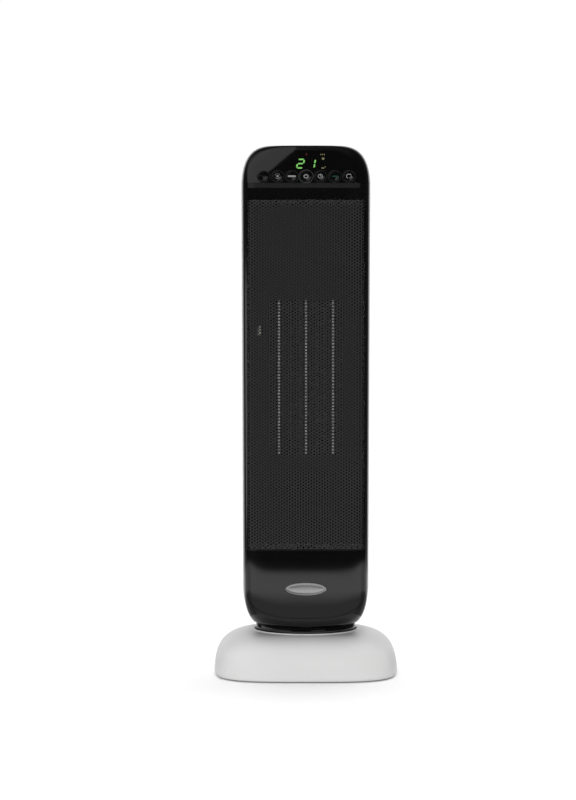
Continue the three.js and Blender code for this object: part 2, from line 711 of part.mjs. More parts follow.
function controlBoard() {
  const half = Math.min(
    POWER_INDEX * BUTTON_PITCH + BUTTON_RADIUS + 1,
    HEAD_WIDTH / 2 - HEAD_WALL - BOARD_SIDE,
  );
  const back = -BOARD_DROP - BOARD_THICK;
  const board = block([-half, -BOARD_BELOW, back], [half, BOARD_ABOVE, -BOARD_DROP]);
  const chips = [-26, 8].map((x) => block([x, 9, back - 2], [x + 12, 21, back + BURIED]));
  const keys = BUTTON_NAMES.map((_, index) => block(
    [buttonX(index) - KEY_SIZE / 2, -KEY_SIZE / 2, -BOARD_DROP - BURIED],
    [buttonX(index) + KEY_SIZE / 2, KEY_SIZE / 2, -BOARD_DROP + 0.9],
  ));
  return joined([board, ...chips, ...keys]);
}

head.add(piece('control_panel', controlPanel(), blackGloss), panelFrame);
panelFrame.add(piece('control_board', controlBoard(), boardGreen));
const DISPLAY_BASE = POWER_BUTTON_RADIUS + DISPLAY_MARGIN;
panelFrame.add(piece('display_module', block(
  [-DISPLAY_WIDTH / 2, DISPLAY_BASE, GAP - BOARD_DROP],
  [DISPLAY_WIDTH / 2, DISPLAY_BASE + DISPLAY_HEIGHT, GAP - BOARD_DROP + DISPLAY_DEPTH],
), smokedLens));
BUTTON_NAMES.forEach((name, index) => {
  const mesh = piece(`${name}_button`, button(buttonRadius(index)), blackGloss);
  mesh.position.x = buttonX(index);
  panelFrame.add(mesh);
});

// ---------------------------------------------------------------- heating unit

function airBaffle() {
  const [bottom, top] = [GRILLE_BOTTOM + BAFFLE_MARGIN, GRILLE_TOP - BAFFLE_MARGIN];
  const half = halfWidthAt(bottom, BAFFLE_FRONT, HEAD_WALL) - GAP;
  const plate = block([-half, BAFFLE_FRONT, bottom], [half, BAFFLE_BACK, top]);
  const centre = WINDOW_BOTTOM + WINDOW_HEIGHT / 2;
  const window = roundedBox(WINDOW_WIDTH, WINDOW_HEIGHT, WINDOW_CORNER, 0, centre);
  return plate.subtract(extrudedAlongY(window, BAFFLE_FRONT - 1, BAFFLE_BACK + 1));
}

const HEATER_HALF = WINDOW_WIDTH / 2 + HEATER_FRAME;

function heaterFrame() {
  const outside = block(
    [-HEATER_HALF, HEATER_FRONT, WINDOW_BOTTOM - HEATER_FRAME],
    [HEATER_HALF, HEATER_BACK, WINDOW_TOP + HEATER_FRAME],
  );
  const inside = block(
    [-WINDOW_WIDTH / 2, -FAR, WINDOW_BOTTOM],
    [WINDOW_WIDTH / 2, FAR, WINDOW_TOP],
  );
  return outside.subtract(inside);
}

head.add(piece('air_baffle', airBaffle(), darkPlastic));
head.add(piece('heater_frame', heaterFrame(), heatPlastic));

const ELEMENT_FRONT = HEATER_FRONT + (HEATER_DEPTH - TUBE_DEPTH) / 2;
const ELEMENT_BACK = ELEMENT_FRONT + TUBE_DEPTH;
const tubeX = Array.from({ length: TUBE_COUNT }, (_, i) => (i - (TUBE_COUNT - 1) / 2) * TUBE_PITCH);
tubeX.forEach((x, i) => {
  const body = block(
    [x - TUBE_WIDTH / 2, ELEMENT_FRONT, WINDOW_BOTTOM + GAP],
    [x + TUBE_WIDTH / 2, ELEMENT_BACK, WINDOW_TOP - GAP],
  );
  head.add(piece(`ceramic_tube_${i + 1}`, body, aluminium));
});
const tubeSides = tubeX.flatMap((x) => [x - TUBE_WIDTH / 2, x + TUBE_WIDTH / 2]);
const finEdges = [-WINDOW_WIDTH / 2, ...tubeSides, WINDOW_WIDTH / 2];
for (let i = 0; i <= TUBE_COUNT; i += 1) {
  const body = block(
    [finEdges[2 * i] + GAP, ELEMENT_FRONT + FIN_SETBACK, WINDOW_BOTTOM + GAP],
    [finEdges[2 * i + 1] - GAP, ELEMENT_BACK - FIN_SETBACK, WINDOW_TOP - GAP],
  );
  head.add(piece(`fin_pack_${i + 1}`, body, aluminium));
}

/** The thermal cut-out stands on the heater frame: a wide foot with a narrower cap. */
function thermalCutout() {
  const foot = WINDOW_TOP + HEATER_FRAME + GAP;
  const middle = [17, (HEATER_FRONT + HEATER_BACK) / 2];
  const step = ([wide, deep], bottom, top) => block(
    [middle[0] - wide / 2, middle[1] - deep / 2, bottom],
    [middle[0] + wide / 2, middle[1] + deep / 2, top],
  );
  return step([14, 10.7], foot, foot + 5).add(step([8, 4.7], foot + 5 - BURIED, foot + 9));
}

const SENSOR_Z = WINDOW_BOTTOM + SENSOR_RISE;
const sensorFront = frontAt(SENSOR_X, SENSOR_Z, GRILLE_INSET + GRILLE_THICK) + SENSOR_GAP;
head.add(
  piece('thermal_cutout', thermalCutout(), acetal),
  piece('room_sensor', block(
    [SENSOR_X - SENSOR_WIDTH / 2, sensorFront, SENSOR_Z - SENSOR_HEIGHT / 2],
    [SENSOR_X + SENSOR_WIDTH / 2, BAFFLE_FRONT - GAP, SENSOR_Z + SENSOR_HEIGHT / 2],
  ), acetal),
);

// ---------------------------------------------------------------- fan

function fanScroll() {
  const half = HEATER_HALF - 2;
  const back = FAN_Y + IMPELLER_RADIUS + TIP_CLEARANCE + SCROLL_WALL;
  const plate = [
    [-half, SCROLL_FRONT],
    [half, SCROLL_FRONT],
    ...arc(0, FAN_Y, back - FAN_Y, -10, 190, 12),
  ];
  const [bottom, top] = [FAN_BOTTOM - RUN, FAN_TOP + RUN];
  const lowerPlate = extruded(plate, bottom - SCROLL_PLATE, bottom);
  const upperPlate = extruded(plate, top, top + SCROLL_PLATE);
  const near = IMPELLER_RADIUS + TIP_CLEARANCE + SCROLL_WALL / 2;
  const volute = [[-half + 1, SCROLL_FRONT + 1], ...arc(0, FAN_Y, near, 205, 115, 8)];
  const tongue = [[half - 1, SCROLL_FRONT + 1], ...arc(0, FAN_Y, near, -35, -15, 2)];
  const walls = [volute, tongue].map((path) => extruded(strip(path, SCROLL_WALL), bottom - 1, top + 1));
  const shaftHole = bar(SHAFT_RADIUS + 2, 0, HEIGHT, 16, [0, FAN_Y]);
  const bushHole = bar(BUSH_RADIUS + GAP, top - 1, HEIGHT, 20, [0, FAN_Y]);
  return joined([lowerPlate, upperPlate, ...walls]).subtract(shaftHole).subtract(bushHole);
}

function impeller() {
  const discs = [FAN_BOTTOM + RUN, FAN_TOP - RUN - DISC_THICK];
  const blades = Array.from({ length: BLADE_COUNT }, (_, i) => {
    const turn = (i * 2 * Math.PI) / BLADE_COUNT;
    const path = [0, 0.5, 1].map((share) => {
      const radius = IMPELLER_RADIUS - 0.6 - BLADE_DEPTH * share;
      const angle = turn + 0.16 * share ** 2;
      return [radius * Math.cos(angle), radius * Math.sin(angle)];
    });
    return extruded(strip(path, BLADE_THICK), discs[0] + 0.5, discs[1] + 0.5);
  });
  const plates = discs.map((z) => tube(SHAFT_RADIUS + GAP, IMPELLER_RADIUS, z, z + DISC_THICK, 28));
  return joined([...plates, ...blades]);
}

const MOTOR_TOP = FAN_BOTTOM - RUN - SCROLL_PLATE - GAP;

function fanMotor() {
  const bottom = MOTOR_TOP - MOTOR_LENGTH;
  const cap = MOTOR_NOSE + MOTOR_SHOULDER;
  const [lowerNose, upperNose] = [0.6 * MOTOR_RADIUS, 0.7 * MOTOR_RADIUS];
  const outline = [
    [0, bottom],
    [lowerNose - MOTOR_SHOULDER, bottom],
    [lowerNose, bottom + MOTOR_NOSE],
    [MOTOR_RADIUS, bottom + cap],
    [MOTOR_RADIUS, MOTOR_TOP - cap],
    [upperNose, MOTOR_TOP - MOTOR_NOSE],
    [upperNose, MOTOR_TOP],
    [SHAFT_RADIUS + RUN, MOTOR_TOP],
    [SHAFT_RADIUS + RUN, bottom + MOTOR_NOSE + 1],
    [0, bottom + MOTOR_NOSE + 1],
  ];
  const [near, far] = [upperNose - 2, MOTOR_RADIUS + LUG_REACH];
  const lugs = [[-far, -near], [near, far]].map(([x0, x1]) =>
    block([x0, -LUG_HALF, MOTOR_TOP - LUG_THICK], [x1, LUG_HALF, MOTOR_TOP]));
  return joined([turned(outline, 20), ...lugs]);
}

const SCROLL_TOP = FAN_TOP + RUN + SCROLL_PLATE;
const bush = [
  [SHAFT_RADIUS + GAP, FAN_TOP + RUN],
  [BUSH_RADIUS, FAN_TOP + RUN],
  [BUSH_RADIUS, SCROLL_TOP + GAP],
  [BUSH_RADIUS + 2, SCROLL_TOP + GAP],
  [BUSH_RADIUS + 2, SCROLL_TOP + 2.5],
  [BUSH_RADIUS, SCROLL_TOP + BUSH_RISE],
  [SHAFT_RADIUS + GAP, SCROLL_TOP + BUSH_RISE],
];

const SHAFT_BOTTOM = MOTOR_TOP - MOTOR_LENGTH + MOTOR_NOSE + MOTOR_SHOULDER;
const fan = new THREE.Group();
fan.position.y = FAN_Y;
fan.add(
  piece('fan_impeller', impeller(), darkPlastic),
  piece('fan_shaft', bar(SHAFT_RADIUS, SHAFT_BOTTOM, SCROLL_TOP + SHAFT_END, 14), steel),
  piece('fan_motor', fanMotor(), steel),
  piece('bearing_bush', turned(bush, 20), brass),
);
head.add(piece('fan_scroll', fanScroll(), heatPlastic), fan);

// ---------------------------------------------------------------- power board

function powerBoard() {
  const front = BAFFLE_BACK + 6;
  const half = Math.min(50, halfWidthAt(GRILLE_BOTTOM, front, HEAD_WALL) - 6);
  const [bottom, top] = [GRILLE_BOTTOM + 12, WINDOW_BOTTOM - HEATER_FRAME - 9];
  const back = front + BOARD_THICK;
  // relays, transformer, capacitor and terminals: x, height on the board, width, height, depth
  const parts = [
    [-44, 30, 16, 20, 15],
    [-22, 30, 16, 20, 15],
    [6, 8, 26, 24, 17],
    [12, 46, 14, 14, 12],
    [-40, 6, 20, 12, 9],
  ];
  const blocks = parts.map(([x, rise, width, height, depth]) => block(
    [x, back - BURIED, bottom + rise],
    [x + width, back + depth, bottom + rise + height],
  ));
  return joined([block([-half, front, bottom], [half, back, top]), ...blocks]);
}

head.add(piece('power_board', powerBoard(), boardGreen));

// ---------------------------------------------------------------- rear filter and main switch

function filterFrame() {
  const panel = rearShell.intersect(filterOpening(0));
  const wide = 2 * (FILTER_HALF - FILTER_RIM);
  const tall = FILTER_TOP - FILTER_BOTTOM - 2 * FILTER_RIM;
  const cellWide = (wide - FILTER_RIB * (FILTER_COLUMNS - 1)) / FILTER_COLUMNS;
  const cellTall = (tall - FILTER_RIB * (FILTER_ROWS - 1)) / FILTER_ROWS;
  const cells = [];
  for (let column = 0; column < FILTER_COLUMNS; column += 1) {
    for (let row = 0; row < FILTER_ROWS; row += 1) {
      const x = -wide / 2 + column * (cellWide + FILTER_RIB);
      const z = FILTER_BOTTOM + FILTER_RIM + row * (cellTall + FILTER_RIB);
      cells.push(block([x, 0, z], [x + cellWide, FAR, z + cellTall]));
    }
  }
  return panel.subtract(joined(cells));
}

const SHEET_HALF = FILTER_HALF - SHEET_MARGIN;
const { rear: rearDepth, half: rearHalfWidth } = headSection(FILTER_BOTTOM);
const sheetEdge = (SHEET_HALF / (rearHalfWidth + REAR_PROUD)) ** HEAD_POWER;
const sheetDepth = (rearDepth + REAR_PROUD) * (1 - sheetEdge) ** (1 / HEAD_POWER);
const SHEET_BACK = sheetDepth - HEAD_WALL - SHEET_GAP;
head.add(
  piece('filter_frame', filterFrame(), whitePlastic),
  piece('filter_mesh', block(
    [-SHEET_HALF, SHEET_BACK - SHEET_THICK, FILTER_BOTTOM + SHEET_MARGIN],
    [SHEET_HALF, SHEET_BACK, FILTER_TOP - SHEET_MARGIN],
  ), filterCloth),
);

function switchHousing() {
  const halfX = SWITCH_WIDTH / 2 + SWITCH_WALL;
  const halfZ = SWITCH_POCKET + SWITCH_WALL;
  const flange = block(
    [-halfX - SWITCH_FLANGE, GAP, -halfZ - SWITCH_FLANGE],
    [halfX + SWITCH_FLANGE, GAP + SWITCH_FLANGE_THICK, halfZ + SWITCH_FLANGE],
  );
  const body = block([-halfX, -SWITCH_DEPTH, -halfZ], [halfX, GAP + BURIED, halfZ]);
  const pocket = block(
    [-SWITCH_WIDTH / 2 - RUN, -SWITCH_POCKET_DEPTH, -SWITCH_POCKET],
    [SWITCH_WIDTH / 2 + RUN, FAR, SWITCH_POCKET],
  );
  return joined([flange, body]).subtract(pocket);
}

/** The rocker, across X about its pivot, with two slanted faces. */
function rocker() {
  const end = SWITCH_HEIGHT / 2;
  const [back, face, hollow, draft] = [-5, 4.6, 3.4, 0.8];
  const side = [[back, draft - end], [face, -end], [hollow, 0], [face, end], [back, end - draft]];
  const shape = new THREE.Shape(side.map(([y, z]) => new THREE.Vector2(y, z)));
  const geometry = new THREE.ExtrudeGeometry(shape, { depth: SWITCH_WIDTH, bevelEnabled: false });
  geometry.translate(0, 0, -SWITCH_WIDTH / 2);
  geometry.rotateX(Math.PI / 2);
  geometry.rotateZ(Math.PI / 2);
  return solid(geometry);
}

const switchFrame = new THREE.Group();
switchFrame.position.set(0, REAR_FACE, SWITCH_Z);
const rockerMesh = piece('switch_rocker', rocker(), blackGloss);
rockerMesh.position.y = -PIVOT_DEPTH;
rockerMesh.rotation.x = SWITCH_TILT;
switchFrame.add(piece('switch_housing', switchHousing(), blackSatin), rockerMesh);
head.add(switchFrame);

// ---------------------------------------------------------------- head screws

function screw(length) {
  return turned([
    [0, -length],
    [SCREW_RADIUS, SCREW_POINT - length],
    [SCREW_RADIUS, 0],
    [SCREW_HEAD, 0],
    [0.75 * SCREW_HEAD, SCREW_HEAD_RISE],
    [0, SCREW_HEAD_RISE],
  ], 10);
}

postPlaces.forEach(([x, z], i) => {
  const mesh = piece(`head_screw_${i + 1}`, screw(HEAD_SCREW_LENGTH), steel);
  mesh.position.set(x, BOSS_STEP + GAP, z);
  mesh.rotation.x = -Math.PI / 2;
  head.add(mesh);
});

// ---------------------------------------------------------------- neck and swing drive

function swivelCollar() {
  const top = HEAD_BOTTOM - GAP;
  const inner = NECK_RADIUS - COLLAR_WALL;
  return turned([
    [WIRE_BORE, SPINDLE_END],
    [SPINDLE_RADIUS, SPINDLE_END],
    [SPINDLE_RADIUS, FLANGE_BOTTOM],
    [NECK_RADIUS + FLANGE_OUT, FLANGE_BOTTOM],
    [NECK_RADIUS + FLANGE_OUT, FLANGE_BOTTOM + FLANGE_THICK],
    [NECK_RADIUS, FLANGE_BOTTOM + FLANGE_THICK],
    [NECK_RADIUS, top],
    [SPIGOT_RADIUS, top],
    [SPIGOT_RADIUS, top + SPIGOT_RISE],
    [SPIGOT_RADIUS - SPIGOT_WALL, top + SPIGOT_RISE],
    [SPIGOT_RADIUS - SPIGOT_WALL, top - 3],
    [inner, top - 3],
    [inner, FLANGE_BOTTOM + FLANGE_THICK],
    [WIRE_BORE, FLANGE_BOTTOM + FLANGE_THICK],
  ], 36);
}

/** One tooth of an involute gear: points from its rising root to its falling root. */
function tooth(teeth, centre) {
  const pitch = (GEAR_MODULE * teeth) / 2;
  const base = pitch * Math.cos(PRESSURE_ANGLE);
  const root = pitch - DEDENDUM * GEAR_MODULE;
  const tip = pitch + ADDENDUM * GEAR_MODULE;
  const involute = (radius) => {
    const angle = Math.acos(Math.min(1, base / radius));
    return Math.tan(angle) - angle;
  };
  const halfAt = (radius) =>
    Math.PI / (2 * teeth) - BACKLASH / (4 * pitch) + involute(pitch) - involute(Math.max(radius, base));
  const radii = [root, Math.max(base, root + 0.1), pitch, (pitch + tip) / 2, tip];
  const flank = (sign) => radii.map((radius) => {
    const angle = centre + sign * halfAt(radius);
    return [radius * Math.cos(angle), radius * Math.sin(angle)];
  });
  return [...flank(-1), ...flank(1).reverse()];
}

function drivePinion() {
  const outline = Array.from({ length: PINION_TEETH }, (_, k) =>
    tooth(PINION_TEETH, -Math.PI / 2 + (k * 2 * Math.PI) / PINION_TEETH)).flat();
  const hub = bar(5, DRIVE_MOTOR_TOP + RUN, SECTOR_BOTTOM, 16);
  return joined([extruded(outline, SECTOR_BOTTOM - 1.5, FLANGE_BOTTOM - 2), hub]);
}

function sectorGear() {
  const step = (2 * Math.PI) / SECTOR_TEETH;
  const teeth = Array.from({ length: SECTOR_CUT_TEETH }, (_, k) =>
    tooth(SECTOR_TEETH, Math.PI / 2 + (k - (SECTOR_CUT_TEETH - 1) / 2) * step)).flat();
  const reach = (SECTOR_CUT_TEETH * 180) / SECTOR_TEETH;
  const hub = arc(0, 0, SPINDLE_RADIUS + SECTOR_HUB, 90 + reach, 450 - reach, 14);
  const wheel = extruded([...teeth, ...hub], SECTOR_BOTTOM, FLANGE_BOTTOM - GAP);
  return wheel.subtract(bar(SPINDLE_RADIUS + GAP, 0, HEIGHT, 28));
}

head.add(
  piece('swivel_collar', swivelCollar(), blackSatin),
  piece('sector_gear', sectorGear(), acetal),
  piece('retaining_ring', tube(
    SPINDLE_RADIUS + GAP,
    RETAINER_OUTER,
    RETAINER_TOP - RETAINER_THICK,
    RETAINER_TOP,
    24,
  ), steel),
  piece('collar_clamp_ring', tube(
    SPIGOT_RADIUS + GAP,
    SPIGOT_RADIUS + 7,
    HEAD_BOTTOM + HEAD_FLOOR + GAP,
    HEAD_BOTTOM + HEAD_FLOOR + 4,
    28,
  ), steel),
);

// ---------------------------------------------------------------- base

const HOLE_RADIUS = NECK_RADIUS + NECK_HOLE_GAP;
const BASE_SIDES = 40;

function baseRadius(angle, half) {
  const sum = Math.abs(Math.cos(angle)) ** BASE_POWER + Math.abs(Math.sin(angle)) ** BASE_POWER;
  return half * sum ** (-1 / BASE_POWER);
}

function baseRing(half, radiusShare, z) {
  return Array.from({ length: BASE_SIDES }, (_, i) => {
    const angle = (i * 2 * Math.PI) / BASE_SIDES;
    const radius = lerp(HOLE_RADIUS, baseRadius(angle, half), radiusShare);
    return new THREE.Vector3(radius * Math.cos(angle), radius * Math.sin(angle), z);
  });
}

/** The domed form up to the neck hole, on a straight rim between two heights. */
function baseDome(half, rimBottom, rimTop, top, steps) {
  const rings = Array.from({ length: steps + 1 }, (_, k) => {
    const height = Math.sin((k * Math.PI) / (2 * steps));
    const share = 1 - rounding(height, BASE_DOME_POWER);
    return baseRing(half, share, lerp(rimTop, top, height));
  });
  return loft([baseRing(half, 1, rimBottom), ...rings]);
}

const BASE_SCREW_RADIUS = TRACK_OUTER + 12;
const baseScrewPlaces = [30, 150, 210, 330].map((degrees) => {
  const angle = THREE.MathUtils.degToRad(degrees);
  return [BASE_SCREW_RADIUS * Math.cos(angle), BASE_SCREW_RADIUS * Math.sin(angle)];
});
const GLAND_Z = 16;
const GLAND_RADIUS = 5.6;

function baseShell() {
  const dome = baseDome(BASE_HALF, BASE_EDGE, BASE_EDGE + 1, BASE_TOP, 7);
  const hollow = baseDome(BASE_HALF - BASE_WALL, BASE_EDGE - 1, PLATE_TOP + GAP, BASE_TOP - BASE_WALL, 4);
  const lip = tube(HOLE_RADIUS, HOLE_RADIUS + LIP_WIDTH, BASE_TOP - 1, BASE_TOP + BASE_LIP, BASE_SIDES);
  const postTop = BASE_TOP - BASE_WALL / 2;
  const posts = baseScrewPlaces.map((place) =>
    bar(POST_RADIUS, PLATE_TOP + GAP, postTop, 12, place).intersect(dome));
  const pilots = baseScrewPlaces.map((place) =>
    bar(SCREW_RADIUS + GAP, 0, PLATE_TOP + PILOT_DEPTH, 10, place));
  return joined([dome.subtract(hollow), lip, ...posts])
    .subtract(bar(HOLE_RADIUS, 0, HEIGHT, BASE_SIDES))
    .subtract(joined(pilots))
    .subtract(barAlongY(GLAND_RADIUS + GAP, 0, GLAND_Z, 0, FAR, 16));
}

const SWITCH_BODY_Y = -(SPINDLE_RADIUS + BOSS_WALL + TRACK_OUTER - 2 * TRACK_HALF) / 2 - 2;
const PLUNGER_RADIUS = 3;

function basePlate() {
  const rim = BASE_HALF - BASE_WALL - RUN;
  const outline = (grow) => Array.from({ length: BASE_SIDES }, (_, i) => {
    const angle = (i * 2 * Math.PI) / BASE_SIDES;
    const radius = baseRadius(angle, rim + grow);
    return [radius * Math.cos(angle), radius * Math.sin(angle)];
  });
  const track = tube(NECK_RADIUS - TRACK_HALF, TRACK_OUTER, PLATE_TOP - 1, TRACK_TOP, BASE_SIDES);
  const boss = bar(BOSS_RADIUS, PLATE_TOP - 1, RETAINER_TOP + RUN + BOSS_SIDE, 28);
  const sleeve = bar(SPINDLE_RADIUS + BOSS_WALL, PLATE_TOP, SECTOR_BOTTOM - 2, 28);
  const cuts = [
    bar(SPINDLE_RADIUS + RUN, 0, HEIGHT, 28),
    bar(RETAINER_OUTER + RUN, 0, RETAINER_TOP + RUN, 28),
    bar(PLUNGER_RADIUS + RUN, 0, HEIGHT, 16, [0, SWITCH_BODY_Y]),
    ...baseScrewPlaces.map((place) => bar(SCREW_RADIUS + RUN, 0, HEIGHT, 10, place)),
    ...baseScrewPlaces.map((place) => bar(SCREW_HEAD + GAP, 0, PLATE_BOTTOM + BASE_SCREW_SINK, 12, place)),
  ];
  return joined([extruded(outline(0), PLATE_BOTTOM, PLATE_TOP), track, boss, sleeve]).subtract(joined(cuts));
}

const base = new THREE.Group();
base.add(
  piece('base_shell', baseShell(), whitePlastic),
  piece('base_plate', basePlate(), darkPlastic),
  piece('glide_ring', tube(
    NECK_RADIUS - GLIDE_HALF,
    NECK_RADIUS + GLIDE_HALF,
    GLIDE_TOP - GLIDE_THICK,
    GLIDE_TOP,
    BASE_SIDES,
  ), acetal),
);

const footOffset = BASE_HALF - FOOT_INSET;
const footNames = ['foot_front_left', 'foot_front_right', 'foot_rear_left', 'foot_rear_right'];
footNames.forEach((name, i) => {
  const body = turned([
    [0, 0],
    [FOOT_RADIUS - 1, 0],
    [FOOT_RADIUS, 1],
    [FOOT_RADIUS, PLATE_BOTTOM - GAP],
    [0, PLATE_BOTTOM - GAP],
  ], 14);
  const mesh = piece(name, body, rubber);
  mesh.position.set(i % 2 ? footOffset : -footOffset, i < 2 ? -footOffset : footOffset, 0);
  base.add(mesh);
});

baseScrewPlaces.forEach(([x, y], i) => {
  const mesh = piece(`base_screw_${i + 1}`, screw(BASE_SCREW_LENGTH), steel);
  mesh.position.set(x, y, PLATE_BOTTOM + BASE_SCREW_SINK - GAP);
  mesh.rotation.x = Math.PI;
  base.add(mesh);
});

// the swing motor stands on the plate, behind the spindle
const drive = new THREE.Group();
drive.position.y = GEAR_CENTRES;
drive.add(
  piece('swing_motor', turned([
    [0, PLATE_TOP + GAP],
    [DRIVE_MOTOR_RADIUS, PLATE_TOP + GAP],
    [DRIVE_MOTOR_RADIUS, DRIVE_MOTOR_TOP - 3],
    [DRIVE_MOTOR_RADIUS - 2, DRIVE_MOTOR_TOP],
    [0, DRIVE_MOTOR_TOP],
  ], 20), steel),
  piece('drive_pinion', drivePinion(), acetal),
);

// a plunger through the plate tells the switch above it that the heater stands upright
const tipSwitch = new THREE.Group();
tipSwitch.position.y = SWITCH_BODY_Y;
const PLUNGER_TOP = PLATE_TOP + 7;
tipSwitch.add(
  piece('tip_switch', block([-10, -7, PLATE_TOP + GAP], [10, 7, PLATE_TOP + 19])
    .subtract(bar(PLUNGER_RADIUS + RUN, 0, PLUNGER_TOP + 1, 16)), darkPlastic),
  piece('tip_plunger', turned([
    [0, 0],
    [PLUNGER_RADIUS - 1, 0],
    [PLUNGER_RADIUS, 1],
    [PLUNGER_RADIUS, PLUNGER_TOP],
    [0, PLUNGER_TOP],
  ], 12), acetal),
);

function cordGland() {
  const face = BASE_HALF + GAP;
  const gland = turned([
    [3.4, -12],
    [GLAND_RADIUS, -12],
    [GLAND_RADIUS, 0],
    [GLAND_RADIUS + 2.4, 0],
    [GLAND_RADIUS + 1.8, 2.6],
    [3.4, 2.6],
  ], 16);
  const mesh = piece('cord_gland', gland, rubber);
  mesh.position.set(0, face, GLAND_Z);
  mesh.rotation.x = -Math.PI / 2;
  return mesh;
}

base.add(drive, tipSwitch, cordGland());

const heater = new THREE.Group();
heater.name = 'tower_heater';
heater.add(base, head);

export default heater;
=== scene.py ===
"""Ceramic tower heater: finished surfaces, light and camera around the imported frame.

Lengths are millimetres up to mesh_object(), which makes them metres. +Z is up, the outlet faces -Y.
"""

import json
from functools import reduce
from math import cos, pi, radians, sin, sqrt, tan

import bmesh
import bpy
import numpy as np
from mathutils import Matrix, Vector


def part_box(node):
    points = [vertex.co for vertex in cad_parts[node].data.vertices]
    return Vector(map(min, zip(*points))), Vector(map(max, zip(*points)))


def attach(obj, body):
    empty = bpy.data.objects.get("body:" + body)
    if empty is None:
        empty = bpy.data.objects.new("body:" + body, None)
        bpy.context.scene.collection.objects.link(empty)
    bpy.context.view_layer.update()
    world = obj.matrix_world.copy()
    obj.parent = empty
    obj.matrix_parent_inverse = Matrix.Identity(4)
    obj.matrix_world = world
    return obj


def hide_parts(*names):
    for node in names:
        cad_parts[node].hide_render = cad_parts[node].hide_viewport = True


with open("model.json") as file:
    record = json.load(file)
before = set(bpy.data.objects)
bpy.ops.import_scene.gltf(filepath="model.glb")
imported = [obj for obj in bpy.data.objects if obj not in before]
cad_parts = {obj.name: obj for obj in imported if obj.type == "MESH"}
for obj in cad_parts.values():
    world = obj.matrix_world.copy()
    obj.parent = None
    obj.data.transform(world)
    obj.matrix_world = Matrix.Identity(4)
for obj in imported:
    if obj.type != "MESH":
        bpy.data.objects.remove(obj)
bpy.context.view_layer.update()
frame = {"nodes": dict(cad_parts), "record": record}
scene = bpy.context.scene

# ---- sizes, as the solids have them

MM = 0.001
GAP = 0.3
HEIGHT = 594.0
HEAD_HALF = 71.6
CHIN_HALF = 70.0
HEAD_FRONT = 64.0
HEAD_REAR = 68.0
REAR_PROUD = 1.0
NECK_RADIUS = 56.0
HEAD_BOTTOM = 56.0
CHIN_TOP = 100.0
CHIN_REACH = 46.0
SHOULDER = 545.0
BEVEL_BOTTOM = 546.5
PANEL_BOTTOM = 552.0
BEVEL_SLOPE = tan(radians(12))
PANEL_TILT = radians(25)
PANEL_FRONT = HEAD_FRONT - (PANEL_BOTTOM - BEVEL_BOTTOM) * BEVEL_SLOPE
CROWN = 6.0
HEAD_POWER = 7  # squareness of the head's section, which falls towards crown and chin
CROWN_POWER = 4
CHIN_POWER = 2
TOP_ROUND_HEIGHT = 49
TOP_ROUND_WIDTH = 34
REAR_ROUND_HEIGHT = 34
REAR_ROUND_DEPTH = 30
WALL = 2.5
SPLIT_Y = -5.0
GRILLE_HALF = 65.0
GRILLE_BOTTOM = 145.0
GRILLE_TOP = 533.0
GRILLE_INSET = 0.8
WINDOW_BOTTOM = 249.5
WINDOW_TOP = 422.0
BUTTON_ROW_Z = 559.196
BUTTON_PITCH = 15.8
BUTTONS = ("timer", "mode", "fan", "power", "heat", "eco", "swing")
BASE_HALF = 103.0
BASE_TOP = 48.0
BASE_POWER = 3.6
BASE_WALL = 3
HOLE_RADIUS = 57.5
FAR = 400.0

# ---- materials

MATERIALS = {}  # by name, which for most of them is a slot in the record
NOISE_ROUGHNESS = 0.55
PATTERN_LOW, PATTERN_HIGH = 0.15, 0.85  # the part of a noise pattern that is spread over a full range
WAVE_SCALE = 22.0  # of the slow unevenness in moulded plastic
ALONG_Z = (1, 1, 0.06)  # draws a pattern out upwards, as rolled metal has it


def feed(tree, node, inputs):
    """Sets a node's inputs: another node's output as a link, anything else as a plain value."""
    for name, given in inputs.items():
        if isinstance(given, bpy.types.NodeSocket):
            tree.links.new(given, node.inputs[name])
        else:
            node.inputs[name].default_value = given


def node_of(tree, kind, inputs, **settings):
    node = tree.nodes.new("ShaderNode" + kind)
    for name, setting in settings.items():
        setattr(node, name, setting)
    feed(tree, node, inputs)
    return node


def material(name):
    """A new node material: its tree and its Principled shader."""
    made = MATERIALS[name] = bpy.data.materials.new(name)
    made.use_nodes = True
    tree = made.node_tree
    return made, tree, tree.nodes["Principled BSDF"]


def placed(tree, stretch=(1, 1, 1)):
    """Object coordinates, stretched: a small factor draws the pattern out along that axis."""
    where = tree.nodes.new("ShaderNodeTexCoord").outputs["Object"]
    return node_of(tree, "Mapping", {"Scale": stretch, "Vector": where}).outputs["Vector"]


def noise(tree, scale, detail=4.0, stretch=(1, 1, 1)):
    inputs = {"Scale": scale, "Detail": detail, "Roughness": NOISE_ROUGHNESS, "Vector": placed(tree, stretch)}
    return node_of(tree, "TexNoise", inputs).outputs["Fac"]


def spread(tree, value, low, high):
    """Maps a pattern onto a range of plain values."""
    inputs = {"From Min": PATTERN_LOW, "From Max": PATTERN_HIGH, "To Min": low, "To Max": high,
              "Value": value}
    return node_of(tree, "MapRange", inputs).outputs["Result"]


def blend_colours(tree, value, dark, light):
    node = node_of(tree, "ValToRGB", {"Fac": value})
    first, last = node.color_ramp.elements
    first.position, last.position = PATTERN_LOW, PATTERN_HIGH
    first.color, last.color = (*dark, 1), (*light, 1)
    return node.outputs["Color"]


def bump(tree, shader, height, depth, after=None):
    """Adds relief of a depth in metres, and returns its normal so that another can follow it."""
    inputs = {"Distance": depth, "Strength": 1.0, "Height": height}
    if after is not None:
        inputs["Normal"] = after
    normal = node_of(tree, "Bump", inputs).outputs["Normal"]
    feed(tree, shader, {"Normal": normal})
    return normal


